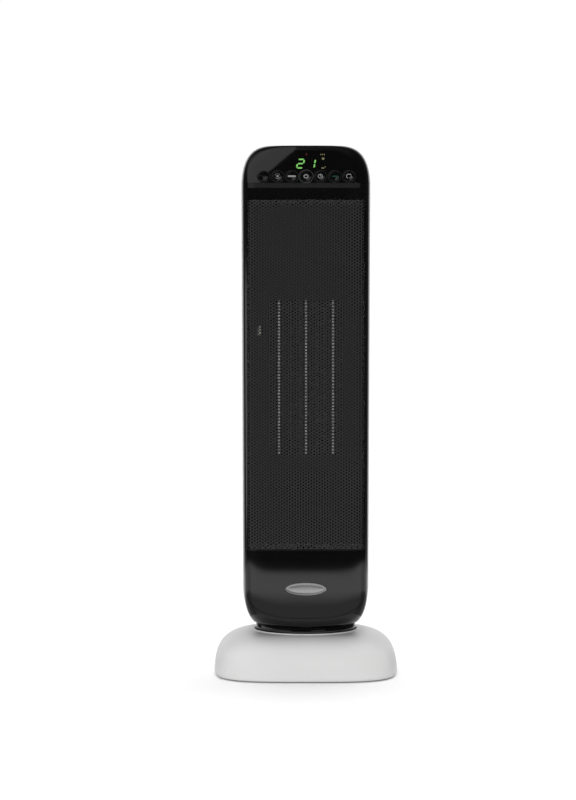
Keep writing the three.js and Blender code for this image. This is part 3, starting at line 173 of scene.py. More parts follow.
def finish(name, dark, light, rough, grain=900.0, relief=0.00002, metallic=0.0, stretch=(1, 1, 1),
           patch=14.0, waves=0.0):
    """A moulded or rolled surface: slow changes of tone and gloss, with a fine grain in relief."""
    made, tree, shader = material(name)
    slow = noise(tree, patch, 5.0, stretch)
    fine = noise(tree, grain, 3.0, stretch)
    feed(tree, shader, {
        "Base Color": blend_colours(tree, slow, dark, light),
        "Roughness": spread(tree, noise(tree, patch * 3, 6.0, stretch), *rough),
        "Metallic": metallic,
    })
    first = bump(tree, shader, noise(tree, WAVE_SCALE, 1.0), waves) if waves else None
    bump(tree, shader, fine, relief, first)
    return made


def weave(name, dark, light, pitch):
    """Woven cloth: two crossing sets of threads in relief."""
    made, tree, shader = material(name)
    threads = [node_of(tree, "TexWave", {"Scale": 1 / pitch, "Vector": placed(tree)}, bands_direction=way)
               .outputs["Fac"] for way in ("X", "Z")]
    joined = node_of(tree, "Math", dict(enumerate(threads)), operation="MAXIMUM").outputs[0]
    feed(tree, shader, {
        "Base Color": blend_colours(tree, joined, dark, light),
        "Roughness": spread(tree, noise(tree, 60.0), 0.75, 0.95),
    })
    bump(tree, shader, joined, 0.0001)
    return made


def lamp(name, colour, strength):
    """A lit mark: a glowing colour that is a little uneven, as light through print is."""
    made, tree, shader = material(name)
    soft = noise(tree, 260.0, 2.0)
    glow = blend_colours(tree, soft, tuple(0.8 * c for c in colour), colour)
    feed(tree, shader, {"Base Color": glow, "Emission Color": glow, "Emission Strength": strength,
                        "Roughness": spread(tree, soft, 0.3, 0.4)})
    return made


def grey(level):
    return (level, level, level)


finish("white_plastic", grey(0.69), (0.72, 0.72, 0.715), (0.26, 0.34), 700, 0.00001, waves=0.00004)
finish("black_gloss", grey(0.0010), grey(0.0014), (0.018, 0.026), 500, 0.0000005)
finish("black_satin", grey(0.0012), grey(0.0018), (0.055, 0.075), 900, 0.000001)
finish("grille_black", grey(0.0125), grey(0.0150), (0.34, 0.42), 1500, 0.00001)
finish("dark_plastic", grey(0.0060), grey(0.0090), (0.5, 0.62), 800, 0.00003)
finish("heat_plastic", (0.030, 0.029, 0.027), (0.042, 0.040, 0.037), (0.55, 0.75), 420, 0.00005)
finish("acetal", (0.66, 0.63, 0.55), (0.72, 0.70, 0.63), (0.35, 0.5), 600, 0.00001)
finish("aluminium", grey(0.70), grey(0.84), (0.30, 0.45), 500, 0.00002, 1.0, ALONG_Z)
finish("steel", (0.42, 0.42, 0.43), (0.58, 0.58, 0.58), (0.22, 0.4), 420, 0.00001, 1.0, (1, 1, 0.15))
finish("brass", (0.50, 0.34, 0.13), (0.64, 0.45, 0.19), (0.3, 0.48), 900, 0.00003, 1.0)
finish("rubber", grey(0.012), grey(0.018), (0.75, 0.9), 500, 0.00006)
finish("board_green", (0.010, 0.075, 0.030), (0.016, 0.11, 0.045), (0.25, 0.4), 260, 0.00006)
weave("filter_cloth", grey(0.010), grey(0.035), 0.0016)
finish("smoked_lens", grey(0.006), grey(0.009), (0.08, 0.14), 300, 0.000004)
finish("silver", grey(0.48), grey(0.60), (0.24, 0.36), 700, 0.00001, 1.0, (0.05, 1, 1))
lamp("led_green", (0.12, 0.33, 0.075), 0.9)
lamp("led_amber", (0.13, 0.12, 0.055), 0.5)
lamp("led_red", (0.09, 0.007, 0.007), 0.6)
finish("print_white", grey(0.20), grey(0.28), (0.4, 0.55), 500, 0.00001)
# dark grey for the timer's symbol and for the rings round the buttons
DIM_GREY = finish("dim_grey", grey(0.013), grey(0.019), (0.3, 0.45), 500, 0.000004)
# pale, almost unmetallic aluminium for the heating bars: painted light, so that the bars look lit
TUBE_PAINTED_LIGHT = finish("tube_painted_light", grey(0.84), grey(0.92), (0.50, 0.62), 500, 0.00002, 0.1, ALONG_Z)
PLATE_METAL = finish("plate_metal", grey(0.26), grey(0.34), (0.50, 0.62), 500, 0.00002, 0.3, ALONG_Z)
FIN_METAL = finish("fin_metal", grey(0.10), grey(0.22), (0.45, 0.65), 500, 0.00003, 0.8, patch=160.0)
BRIGHT_RING = finish("bright_ring", grey(0.055), grey(0.085), (0.2, 0.3), 500, 0.000004)
GREEN_PRINT = finish("green_print", (0.004, 0.055, 0.030), (0.006, 0.075, 0.042), (0.35, 0.5), 500, 0.000004)

# ---- pieces


def add_object(name, data):
    made = bpy.data.objects.new(name, data)
    scene.collection.objects.link(made)
    return made


def mesh_object(name, points, faces):
    """A new object from millimetre points, its faces turned outwards and shaded smooth up to an angle."""
    mesh = bpy.data.meshes.new(name)
    mesh.from_pydata((np.asarray(points, float) * MM).tolist(), [], [list(map(int, face)) for face in faces])
    turn_outwards(mesh)
    made = add_object(name, mesh)
    soften(made)
    return made


def turn_outwards(mesh):
    """Faces a mesh outwards, and drops points that no face uses."""
    built = bmesh.new()
    built.from_mesh(mesh)
    bmesh.ops.delete(built, geom=[v for v in built.verts if not v.link_faces], context="VERTS")
    bmesh.ops.recalc_face_normals(built, faces=built.faces)
    built.to_mesh(mesh)
    built.free()


def soften(piece, angle=radians(35)):
    """Shades a piece smooth, but not over edges sharper than an angle."""
    piece.data.shade_smooth()
    piece.data.set_sharp_from_angle(angle=angle)


def dress(piece, body, slot, stands_for=(), look=None):
    """Gives a piece the material named by its slot, or another look, and the body it moves with; hides the
    parts it stands for.
    """
    piece.data.materials.clear()
    piece.data.materials.append(look or MATERIALS[slot])
    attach(piece, body)
    if stands_for:
        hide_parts(*([stands_for] if isinstance(stands_for, str) else stands_for))


def fused(name, pieces):
    """Several objects as one."""
    points, faces = [], []
    for piece in pieces:
        faces += [[len(points) + v for v in polygon.vertices] for polygon in piece.data.polygons]
        points += [tuple(piece.matrix_world @ v.co) for v in piece.data.vertices]
        bpy.data.objects.remove(piece)
    return mesh_object(name, np.array(points) / MM, faces)


def loft(name, rings, looped=False):
    """Skins rings of equal count. A looped loft joins its last ring to its first, others have caps."""
    rings = [np.asarray(ring, float) for ring in rings]
    count, levels = len(rings[0]), len(rings)
    faces = []
    for level in range(levels if looped else levels - 1):
        above = (level + 1) % levels
        for i in range(count):
            j = (i + 1) % count
            faces.append((level * count + i, level * count + j, above * count + j, above * count + i))
    if not looped:
        faces.append(tuple(range(count))[::-1])
        faces.append(tuple(range((levels - 1) * count, levels * count)))
    return mesh_object(name, np.concatenate(rings), faces)


def ring_at(radius, angles, z):
    return np.stack([radius * np.cos(angles), radius * np.sin(angles), np.full(len(angles), z)], 1)


def turned(name, outline, sides=96, looped=False, place=None):
    """A turned body from its [radius, height] outline. An open outline starts and ends on the axis."""
    angles = np.linspace(0, 2 * pi, sides, endpoint=False)
    made = loft(name, [ring_at(r, angles, float(z)) for r, z in outline if r > 0], looped=looped)
    if place is not None:
        made.data.transform(place)
    return made


def upright(x, y, z):
    return Matrix.Translation(Vector((x, y, z)) * MM)


def facing(x, y, z, turn):
    """A place whose own Z axis is turned about X."""
    return upright(x, y, z) @ Matrix.Rotation(turn, 4, "X")


def rounded_block(name, low, high, radius, segments=3):
    """A box with rounded edges."""
    built = bmesh.new()
    bmesh.ops.create_cube(built, size=1)
    size, middle = np.subtract(high, low), np.add(high, low) / 2
    for vertex in built.verts:
        vertex.co = Vector(np.array(vertex.co) * size + middle) * MM
    if radius:
        bmesh.ops.bevel(built, geom=built.edges[:], offset=radius * MM, segments=segments, profile=0.5,
                        affect="EDGES", clamp_overlap=True)
    mesh = bpy.data.meshes.new(name)
    built.to_mesh(mesh)
    built.free()
    made = add_object(name, mesh)
    soften(made)
    return made


def rounded_outline(width, height, radius, cx=0.0, cy=0.0, steps=8):
    """A rectangle with rounded corners, anticlockwise."""
    points = []
    for quarter, (sx, sy) in enumerate(((1, 1), (-1, 1), (-1, -1), (1, -1))):
        for k in range(steps + 1):
            angle = pi / 2 * (quarter + k / steps)
            points.append((cx + sx * (width / 2 - radius) + radius * cos(angle),
                           cy + sy * (height / 2 - radius) + radius * sin(angle)))
    return points


def prism(name, outline, low, high, axis="Y"):
    """A flat outline given thickness. Along Y the outline lies in XZ, along Z in XY."""
    spot = "XYZ".index(axis)
    return loft(name, [np.insert(np.asarray(outline, float), spot, level, axis=1) for level in (low, high)])


def combine(target, other, operation="DIFFERENCE"):
    """Cuts, joins or keeps the overlap of two closed bodies, and uses up the second."""
    modifier = target.modifiers.new("combine", "BOOLEAN")
    modifier.operation = operation
    modifier.solver = "MANIFOLD"
    modifier.object = other
    bpy.context.view_layer.update()
    result = bpy.data.meshes.new_from_object(target.evaluated_get(bpy.context.evaluated_depsgraph_get()))
    target.modifiers.clear()
    target.data = result
    bpy.data.objects.remove(other)
    return target


def cut(target, *others):
    for other in others:
        combine(target, other)


# ---- head form

QUARTER_POINTS = 36
ON_FORM = 0.06  # how near to the head's form a point counts as on it


def rounding(u, power):
    return 1 - np.maximum(0, 1 - np.clip(u, 0, 1) ** power) ** (1 / power)


def front_depth(z):
    """Distance from the axis to the front face."""
    bevelled = HEAD_FRONT - (np.clip(z, BEVEL_BOTTOM, PANEL_BOTTOM) - BEVEL_BOTTOM) * BEVEL_SLOPE
    slanted = bevelled - np.maximum(0, z - PANEL_BOTTOM) * tan(PANEL_TILT)
    return slanted - CROWN * rounding((z - HEIGHT + CROWN) / CROWN, 2)


def section(z):
    """Half width, front and rear depth and squareness of the head at height z."""
    z = np.asarray(z, float)
    chin = rounding((CHIN_TOP - z) / CHIN_REACH, 2) / rounding((CHIN_TOP - HEAD_BOTTOM) / CHIN_REACH, 2)
    up = np.clip((z - SHOULDER) / TOP_ROUND_HEIGHT, 0, 1)
    along = np.clip((z - CHIN_TOP) / (SHOULDER - CHIN_TOP), 0, 1)
    half = CHIN_HALF + (HEAD_HALF - CHIN_HALF) * along - TOP_ROUND_WIDTH * rounding(up, 2.6)
    back = REAR_ROUND_DEPTH * rounding((z - HEIGHT + REAR_ROUND_HEIGHT) / REAR_ROUND_HEIGHT, 2.4)
    return (
        half + (NECK_RADIUS - CHIN_HALF) * chin,
        front_depth(z) + (NECK_RADIUS - HEAD_FRONT) * chin,
        HEAD_REAR - back + (NECK_RADIUS - HEAD_REAR) * chin,
        HEAD_POWER - (HEAD_POWER - CROWN_POWER) * up**3 - (HEAD_POWER - CHIN_POWER) * chin,
    )


def front_at(x, z, inset=0.0):
    """Where the front face is, at x across the head and height z."""
    half, front, _, power = section(z)
    share = np.clip(np.abs(x) / (half - inset), 0, 1)
    return -(front - inset) * (1 - share**power) ** (1 / power)


def head_ring(z, inset, proud, section_z, angles):
    half, front, rear, power = section(section_z)
    across, deep = np.cos(angles), np.sin(angles)
    depth = np.where(deep < 0, front, rear + proud) - inset
    total = (np.abs(across) / (half + proud - inset)) ** power + (np.abs(deep) / depth) ** power
    return ring_at(total ** (-1 / power), angles, z)


def head_form(name, inset=0.0, proud=0.0):
    """The head's full form, or one inset from it all round."""
    shares = 2 * np.arange(QUARTER_POINTS) / QUARTER_POINTS - 1
    quarter = np.radians(45 + 45 * np.sign(shares) * np.abs(shares) ** 1.5)
    angles = np.concatenate([quarter + k * pi / 2 for k in range(4)])
    bottom = HEAD_BOTTOM + (max(inset, 3.0) if inset else 0)
    top = HEIGHT - inset
    stretch = TOP_ROUND_HEIGHT / (TOP_ROUND_HEIGHT - inset)
    chin = bottom + (CHIN_TOP - bottom) * np.linspace(0, 1, 20) ** 2
    straight = np.linspace(CHIN_TOP, SHOULDER, 12)[1:]
    crown = top - (top - PANEL_BOTTOM) * (1 - np.linspace(0, 1, 26)) ** 1.6
    levels = [*chin, *straight, BEVEL_BOTTOM, *crown]
    rings = [head_ring(z, inset, proud, SHOULDER + (z - SHOULDER) * stretch if z > SHOULDER else z, angles)
             for z in levels]
    return loft(name, rings)


def form_offset(points, proud):
    """Roughly how far points stand outside the head's form, and the form's normals there."""
    def value(p):
        half, front, rear, power = section(p[:, 2])
        depth = np.where(p[:, 1] < 0, front, rear + proud)
        return (np.abs(p[:, 0]) / (half + proud)) ** power + (np.abs(p[:, 1]) / depth) ** power - 1

    step = 0.02
    slope = np.stack([(value(points + step * axis) - value(points - step * axis)) / (2 * step)
                      for axis in np.eye(3)], 1)
    length = np.linalg.norm(slope, axis=1)
    return value(points) / np.maximum(length, 1e-9), slope / np.maximum(length, 1e-9)[:, None]


def shade_as_form(piece, proud=0.0):
    """Gives corners on the head's form its true normals, so that cuts leave no mark in the gloss."""
    soften(piece, radians(30))
    mesh = piece.data
    corners = len(mesh.loops)
    normals = np.empty(corners * 3, np.float32)
    mesh.corner_normals.foreach_get("vector", normals)
    normals = normals.reshape(-1, 3)
    vertex_of = np.empty(corners, np.int32)
    mesh.loops.foreach_get("vertex_index", vertex_of)
    points = np.empty(len(mesh.vertices) * 3, np.float32)
    mesh.vertices.foreach_get("co", points)
    points = points.reshape(-1, 3)[vertex_of] / MM
    sizes = np.array([polygon.loop_total for polygon in mesh.polygons])
    face_of = np.repeat(np.arange(len(sizes)), sizes)
    middles = np.array([polygon.center for polygon in mesh.polygons])[face_of] / MM
    flats = np.array([polygon.normal for polygon in mesh.polygons])[face_of]
    inward = middles - points
    inward /= np.maximum(np.linalg.norm(inward, axis=1), 1e-6)[:, None]
    offset, slope = form_offset((points + 0.05 * inward).astype(float), proud)
    chosen = (np.abs(offset) < ON_FORM) & ((slope * flats).sum(1) > 0.93)
    normals[chosen] = slope[chosen]
    mesh.normals_split_custom_set(normals.tolist())


def slab(low, high):
    return rounded_block("slab", low, high, 0)


# ---- casings

FASCIA_HALF = 66.0
FASCIA_BOTTOM = 67.0
FASCIA_TOP = 143.0
FASCIA_DROP = 33.0
FASCIA_POWER = 2.6
POSTS = [(side * (HEAD_HALF - 15.6), z) for side in (-1, 1) for z in (125.0, 541.0)]
POST_END = 46  # where the casings' screw posts meet
FRONT_CUT = -32  # cuts into the front face end here
REAR_CUT = 34  # cuts into the rear face start here
FLOOR_HOLE = 39.9
FILTER_WIDTH, FILTER_HEIGHT, FILTER_Z = 104, 260, 335
POCKET_HALF, POCKET_FRONT, POCKET_HEIGHTS = 40, 45, (502, 528)


def fascia_outline(grow, steps=40):
    """The fascia's outline in XZ: straight sides and one wide rounded lower edge."""
    across = np.sin(np.linspace(-pi / 2, pi / 2, 2 * steps + 1))
    drop = 1 - (1 - np.abs(across) ** FASCIA_POWER) ** (1 / FASCIA_POWER)
    lower = [(x * (FASCIA_HALF + grow), FASCIA_BOTTOM - grow + FASCIA_DROP * d) for x, d in zip(across, drop)]
    return [*lower, (FASCIA_HALF + grow, FASCIA_TOP + grow), (-FASCIA_HALF - grow, FASCIA_TOP + grow)]


def behind_split():
    return slab((-FAR, SPLIT_Y - GAP / 2, -FAR), (FAR, FAR, FAR * 2))


def floor_hole():
    return turned("floor_hole", [(FLOOR_HOLE, HEAD_BOTTOM - 5), (FLOOR_HOLE, HEAD_BOTTOM + 10)])


def front_casing():
    shell = head_form("front_casing")
    recess = prism("recess", fascia_outline(GAP), -FAR, FRONT_CUT)
    cut(recess, head_form("under_fascia", 1.3 + GAP))
    opening = rounded_outline(2 * (GRILLE_HALF + GAP), GRILLE_TOP - GRILLE_BOTTOM + 2 * GAP, 1.6, 0,
                              (GRILLE_TOP + GRILLE_BOTTOM) / 2)
    cut(
        shell,
        head_form("inside", WALL),
        behind_split(),
        slab((-FAR, -FAR, PANEL_BOTTOM - GAP / 2), (FAR, FAR, FAR * 2)),
        prism("opening", opening, -FAR, FRONT_CUT),
        recess,
        floor_hole(),
    )
    shade_as_form(shell)
    dress(shell, "head", "black_satin", "front_bezel")
    posts = []
    for x, z in POSTS:
        front = float(front_at(x, z, 1.8))
        end = POST_END - GAP - front
        outline = [(0.01, 0), (4.6, 0), (4.6, end - 0.4), (4.2, end), (2, end), (2, end - 16),
                   (0.01, end - 16)]
        posts.append(turned("post", outline, 32, place=facing(x, front, z, -pi / 2)))
    dress(fused("casing_posts", posts), "head", "black_satin")


def handle_pocket(grow, radius):
    low, high = POCKET_HEIGHTS
    return rounded_block("pocket", (-POCKET_HALF - grow, POCKET_FRONT - grow, low - grow),
                         (POCKET_HALF + grow, POCKET_FRONT + FAR, high + grow), radius, 5)


def rear_casing():
    shell = head_form("rear_casing", proud=REAR_PROUD)
    core = head_form("core", 1.0, REAR_PROUD)
    cup = combine(handle_pocket(WALL, 5), core, "INTERSECT")
    cut(
        shell,
        head_form("inside", WALL, REAR_PROUD),
        slab((-FAR, -FAR, -FAR), (FAR, SPLIT_Y + GAP / 2, FAR * 2)),
    )
    combine(shell, cup, "UNION")
    for x, z in POSTS:
        boss = turned("boss", [(5.4, 0), (5.4, 40)], 40, place=facing(x, POST_END, z, -pi / 2))
        combine(shell, combine(boss, head_form("core", 1.0, REAR_PROUD), "INTERSECT"), "UNION")
    holes = [turned("hole", [(2.1, -50), (2.1, 5.7), (3.9, 5.7), (3.9, 40)], 40,
                    place=facing(x, POST_END, z, -pi / 2)) for x, z in POSTS]
    opening = rounded_outline(FILTER_WIDTH + 1.2, FILTER_HEIGHT + 1.2, 3, 0, FILTER_Z)
    cut(
        shell,
        handle_pocket(0, 3.5),
        *holes,
        floor_hole(),
        prism("filter_opening", opening, REAR_CUT, FAR),
        slab((-10.5, 30, 107.7), (10.5, FAR, 136.3)),
    )
    shade_as_form(shell, REAR_PROUD)
    dress(shell, "head", "white_plastic", "rear_casing")


def chin_fascia():
    """The glossy plate under the grille. Its rows follow its own outline down to the lowest point."""
    turn = np.linspace(0, pi / 2, 26)[1:]
    heights = np.concatenate([FASCIA_BOTTOM + FASCIA_DROP * (1 - np.cos(turn)),
                              np.linspace(FASCIA_BOTTOM + FASCIA_DROP, FASCIA_TOP, 16)[1:]])
    drop = np.clip(1 - (heights - FASCIA_BOTTOM) / FASCIA_DROP, 0, 1)
    halves = FASCIA_HALF * (1 - drop**FASCIA_POWER) ** (1 / FASCIA_POWER)
    across = np.sin(np.linspace(-pi / 2, pi / 2, 61))
    columns = len(across)

    def skin(inset, shrink):
        rows = [[(x * (half - shrink), float(front_at(x * (half - shrink), z, inset)), z) for x in across]
                for half, z in zip(halves, np.clip(heights, FASCIA_BOTTOM + shrink, FASCIA_TOP - shrink))]
        tip = (0.0, float(front_at(0, FASCIA_BOTTOM + shrink, inset)), FASCIA_BOTTOM + shrink * 0.5)
        return [tip] + [point for row in rows for point in row]

    layers = [skin(1.3, 0.0), skin(0.4, 0.0), skin(0.12, 0.12), skin(0.0, 0.4)]
    size = len(layers[0])
    rows = len(heights)

    def at(layer, row, column):
        return layer * size + 1 + row * columns + column

    def cap(layer):
        fan = [(layer * size, at(layer, 0, i), at(layer, 0, i + 1)) for i in range(columns - 1)]
        grid = [(at(layer, r, i), at(layer, r, i + 1), at(layer, r + 1, i + 1), at(layer, r + 1, i))
                for r in range(rows - 1) for i in range(columns - 1)]
        return fan + grid

    rim = [0] + [1 + r * columns + columns - 1 for r in range(rows)]
    rim += [1 + (rows - 1) * columns + i for i in range(columns - 2, 0, -1)]
    rim += [1 + r * columns for r in range(rows - 1, -1, -1)]
    walls = []
    for layer in range(len(layers) - 1):
        for a, b in zip(rim, rim[1:] + rim[:1]):
            walls.append((layer * size + a, layer * size + b, (layer + 1) * size + b, (layer + 1) * size + a))
    plate = mesh_object("chin_fascia_plate", np.concatenate([np.array(layer) for layer in layers]),
                        cap(0) + walls + cap(len(layers) - 1))
    shade_as_form(plate)
    dress(plate, "head", "black_gloss", "chin_fascia")


def badge():
    """A plain oval plate: a raised rim around a sunk, slightly domed field."""
    face = -HEAD_FRONT - GAP
    half_wide, half_high, middle = 22.8, 7.2, 100.6
    profile = [(0, 0.0), (0, 0.9), (0.12, 1.2), (0.4, 1.35), (0.8, 1.4), (1.3, 1.35), (1.6, 1.15),
               (1.75, 0.8), (2.2, 0.75), (3.6, 0.85), (5.2, 0.93), (6.6, 0.95)]
    angles = np.linspace(0, 2 * pi, 120, endpoint=False)
    rings = [np.stack([(half_wide - inset) * np.cos(angles), np.full(len(angles), face - rise),
                       middle + (half_high - inset) * np.sin(angles)], 1) for inset, rise in profile]
    dress(loft("badge_plate", rings), "head", "silver", "badge")


# ---- outlet grille

GRILLE_ROWS = 112
GRILLE_PITCH = (GRILLE_TOP - GRILLE_BOTTOM) / GRILLE_ROWS
GRILLE_COLUMNS = 21  # to each side of the middle one
COLUMN_STEP = 3.0
CELL_RADIUS = 2
SHEET_THICK = 1.5


def grille_cell(radius=1.14, sides=8):
    """One hexagon of sheet around a hole: its points, and triangles between hexagon and hole."""
    outer = [(CELL_RADIUS * cos(pi / 3 * k), CELL_RADIUS * sin(pi / 3 * k)) for k in range(6)]
    turns = [2 * pi * (k + 0.5) / sides for k in range(sides)]
    inner = [(radius * cos(turn), radius * sin(turn)) for turn in turns]
    outer_turn = [k / 6 for k in range(7)]
    inner_turn = [(k + 0.5) / sides for k in range(sides + 1)]
    triangles, o, i = [], 0, 0
    while o < 6 or i < sides:
        if i >= sides or (o < 6 and outer_turn[o + 1] - 0.08 <= inner_turn[i + 1] - 0.5 / sides):
            triangles.append((o % 6, (o + 1) % 6, 6 + i % sides))
            o += 1
        else:
            triangles.append((o % 6, 6 + (i + 1) % sides, 6 + i % sides))
            i += 1
    return np.array(outer + inner), np.array(triangles)


def perforated_sheet(name, rows_from, rows_to):
    """Part of the outlet sheet, with every hole of its staggered pattern, between two of its rows."""
    outline, triangles = grille_cell()
    outline = outline * (1, GRILLE_PITCH / (2 * sqrt(3)))
    bottom, top = GRILLE_BOTTOM + rows_from * GRILLE_PITCH, GRILLE_BOTTOM + rows_to * GRILLE_PITCH
    points, faces = [], []

    def add(new_points, new_faces):
        faces.extend((np.array(new_faces) + sum(map(len, points))).tolist())
        points.append(np.array(new_points, float))

    half_cell = GRILLE_PITCH / 2
    for column in range(-GRILLE_COLUMNS, GRILLE_COLUMNS + 1):
        x = column * COLUMN_STEP
        shift = half_cell if column % 2 else GRILLE_PITCH
        for row in range(rows_from, rows_to if column % 2 or rows_to < GRILLE_ROWS else rows_to - 1):
            add(outline + (x, GRILLE_BOTTOM + shift + row * GRILLE_PITCH), triangles)
        for level, way in ((GRILLE_BOTTOM, 1), (GRILLE_TOP, -1)):
            if column % 2 == 0 and level in (bottom, top):
                inner = level + way * half_cell
                add([(x - 2, level), (x + 2, level), (x + 1, inner), (x - 1, inner)], [(0, 1, 2), (0, 2, 3)])
    for side in (-1, 1):
        for row in range(rows_from + (rows_from > 0), rows_to + 1):
            z = GRILLE_BOTTOM + row * GRILLE_PITCH
            low, high = max(z - half_cell, GRILLE_BOTTOM), min(z + half_cell, GRILLE_TOP)
            edge = side * GRILLE_HALF
            add([(edge, low), (edge - side, z), (edge, high)], [(0, 1, 2)])
    flat = np.concatenate(points)
    keys, index = np.unique(np.round(flat * 200).astype(np.int64), axis=0, return_inverse=True)
    place = np.zeros((len(keys), 2))
    place[index.ravel()] = flat
    faces = index.ravel()[np.array(faces)]
    faces = faces[(faces[:, 0] != faces[:, 1]) & (faces[:, 1] != faces[:, 2]) & (faces[:, 2] != faces[:, 0])]
    a, b, c = (place[faces[:, k]] for k in range(3))
    turned_over = ((b - a)[:, 0] * (c - a)[:, 1] - (b - a)[:, 1] * (c - a)[:, 0]) < 0
    faces[turned_over] = faces[turned_over][:, ::-1]
    edges = np.concatenate([faces[:, [0, 1]], faces[:, [1, 2]], faces[:, [2, 0]]])
    code = edges[:, 0].astype(np.int64) * len(keys) + edges[:, 1]
    back = edges[:, 1].astype(np.int64) * len(keys) + edges[:, 0]
    rims = edges[~np.isin(code, back)]
    count = len(keys)
    front, rear = (np.stack([place[:, 0], front_at(place[:, 0], place[:, 1], inset), place[:, 1]], 1)
                   for inset in (GRILLE_INSET, GRILLE_INSET + SHEET_THICK))
    walls = np.stack([rims[:, 0], rims[:, 0] + count, rims[:, 1] + count, rims[:, 1]], 1)
    everything = faces.tolist() + (faces[:, ::-1] + count).tolist() + walls.tolist()
    mesh = bpy.data.meshes.new(name)
    mesh.from_pydata((np.concatenate([front, rear]) * MM).tolist(), [], everything)
    made = add_object(name, mesh)
    soften(made, radians(50))
    return made


def outlet_grille():
    for name, start, end in (("outlet_sheet_lower", 0, GRILLE_ROWS // 2),
                             ("outlet_sheet_upper", GRILLE_ROWS // 2, GRILLE_ROWS)):
        dress(perforated_sheet(name, start, end), "head", "grille_black", "outlet_grille")


# ---- control panel


def panel_place(x, up=0.0, out=0.0):
    """A point in the panel's own frame: across, up the slope from the button row, and out of the face."""
    row_y = -PANEL_FRONT + (BUTTON_ROW_Z - PANEL_BOTTOM) * tan(PANEL_TILT)
    return np.array([x, row_y + up * sin(PANEL_TILT) - out * cos(PANEL_TILT),
                     BUTTON_ROW_Z + up * cos(PANEL_TILT) + out * sin(PANEL_TILT)])


def panel_matrix(x, up=0.0, out=0.0):
    return facing(*panel_place(x, up, out), pi / 2 - PANEL_TILT)


def button_radius(index):
    return 6.9 if BUTTONS[index] == "power" else 6.2


def button_place(index, out=0.0):
    return panel_matrix((index - len(BUTTONS) // 2) * BUTTON_PITCH, 0.0, out)


def control_panel():
    shell = head_form("panel_shell")
    bores = []
    for index in range(len(BUTTONS)):
        radius = button_radius(index) + 0.4
        outline = [(radius, -12), (radius, -0.5), (radius + 0.35, 0), (radius + 0.35, 12)]
        bores.append(turned("bore", outline, 72, place=button_place(index)))
    cut(
        shell,
        head_form("inside", WALL),
        behind_split(),
        slab((-FAR, -FAR, -FAR), (FAR, FAR, PANEL_BOTTOM + GAP / 2)),
        *bores,
    )
    shade_as_form(shell)
    dress(shell, "head", "black_gloss", "control_panel")


def flat_mark(name, outlines, thickness=0.08):
    """Thin solids from flat outlines, standing on the local XY plane."""
    return fused(name, [prism("mark", outline, 0, thickness, "Z") for outline in outlines])


def band(points, width):
    """The outline of a line of even width through points."""
    path = np.asarray(points, float)
    step = np.gradient(path, axis=0)
    normal = np.stack([-step[:, 1], step[:, 0]], 1) / np.linalg.norm(step, axis=1)[:, None] * width / 2
    return [*(path - normal), *(path + normal)[::-1]]


def arc(radius, start, end, steps=24, cx=0.0, cy=0.0):
    turn = np.radians(np.linspace(start, end, steps + 1))
    return np.stack([cx + radius * np.cos(turn), cy + radius * np.sin(turn)], 1)


def disc(radius, cx=0.0, cy=0.0, steps=20):
    return arc(radius, 0, 360 - 360 / steps, steps - 1, cx, cy)


def arrow(x, y, size, turn):
    tip = np.array([(size, 0), (-size * 0.6, size * 0.8), (-size * 0.6, -size * 0.8)])
    c, s = cos(radians(turn)), sin(radians(turn))
    return tip @ np.array([[c, s], [-s, c]]) + (x, y)


SYMBOLS = {
    "timer": [band(np.stack([np.linspace(-3.2, 1.4, 20), 0.7 * np.sin(np.linspace(0, 7, 20))], 1), 0.5),
              arrow(2.6, -0.3, 1.0, -20)],
    "mode": [disc(1.15), band(arc(3.0, 20, 160), 0.3), band(arc(3.0, 200, 340), 0.3)],
    "fan": [rounded_outline(9.0, 2.0, 0.9, 0, 0, 5)],
    "power": [band(arc(2.3, 122, 418, 40), 0.9), rounded_outline(0.9, 2.6, 0.4, 0, 1.7, 4)],
    "heat": [band(arc(2.4, 0, 180), 0.7), band(arc(2.4, 180, 360), 0.7),
             rounded_outline(0.7, 2.0, 0.3, 0, 0.9, 4), rounded_outline(1.9, 0.7, 0.3, 0.7, 0.1, 4)],
    "eco": [rounded_outline(4.4, 0.9, 0.4, -0.5, 0, 5), arrow(2.9, 0, 1.1, 0)],
    "swing": [band(arc(2.6, 60, 250, 24), 0.75), arrow(1.9, 2.1, 1.0, -30),
              band(arc(1.7, -110, 30, 20, 1.2, -0.3), 0.6)],
}


CAP_PROFILE = [(0.5, -4.5), (0, -4.2), (0, -0.35), (0.08, 0.05), (0.3, 0.34), (0.6, 0.47), (0.95, 0.5),
               (1.6, 0.42), (2.8, 0.33)]
RING_PROFILE = [(-0.22, -0.1), (0.22, -0.1), (0.2, 0.1), (0.08, 0.2), (-0.08, 0.2), (-0.2, 0.1)]


def buttons():
    for index, label in enumerate(BUTTONS):
        radius, body = button_radius(index), f"{label}_button_body"
        place = button_place(index)
        outline = [(radius - inset, z) for inset, z in CAP_PROFILE] + [(1.5, 0.30)]
        dress(turned(f"{label}_button_cap", outline, 80, place=place), body, "black_gloss", f"{label}_button")
        mark = flat_mark(f"{label}_symbol", SYMBOLS[label])
        mark.data.transform(button_place(index, 0.36))
        look = {"timer": DIM_GREY, "eco": GREEN_PRINT}.get(label)
        dress(mark, body, "print_white", look=look)
        # a thin raised ring round each button, dark grey a little lighter than the panel, and lighter still
        # round the power button
        ring = radius + 1.0
        lip = turned(f"{label}_ring", [(ring + out, z) for out, z in RING_PROFILE], 96, True, place)
        dress(lip, "head", "black_satin", look=BRIGHT_RING if label == "power" else DIM_GREY)


def segment(x0, y0, x1, y1, width=1.7, gap=0.35):
    """One bar of a seven-bar digit, with pointed ends."""
    a, b = np.array([x0, y0]), np.array([x1, y1])
    along = (b - a) / np.linalg.norm(b - a)
    side = np.array([-along[1], along[0]]) * width / 2
    a, b = a + along * gap, b - along * gap
    inner_a, inner_b = a + along * width / 2, b - along * width / 2
    return np.array([a, inner_a - side, inner_b - side, b, inner_b + side, inner_a + side])


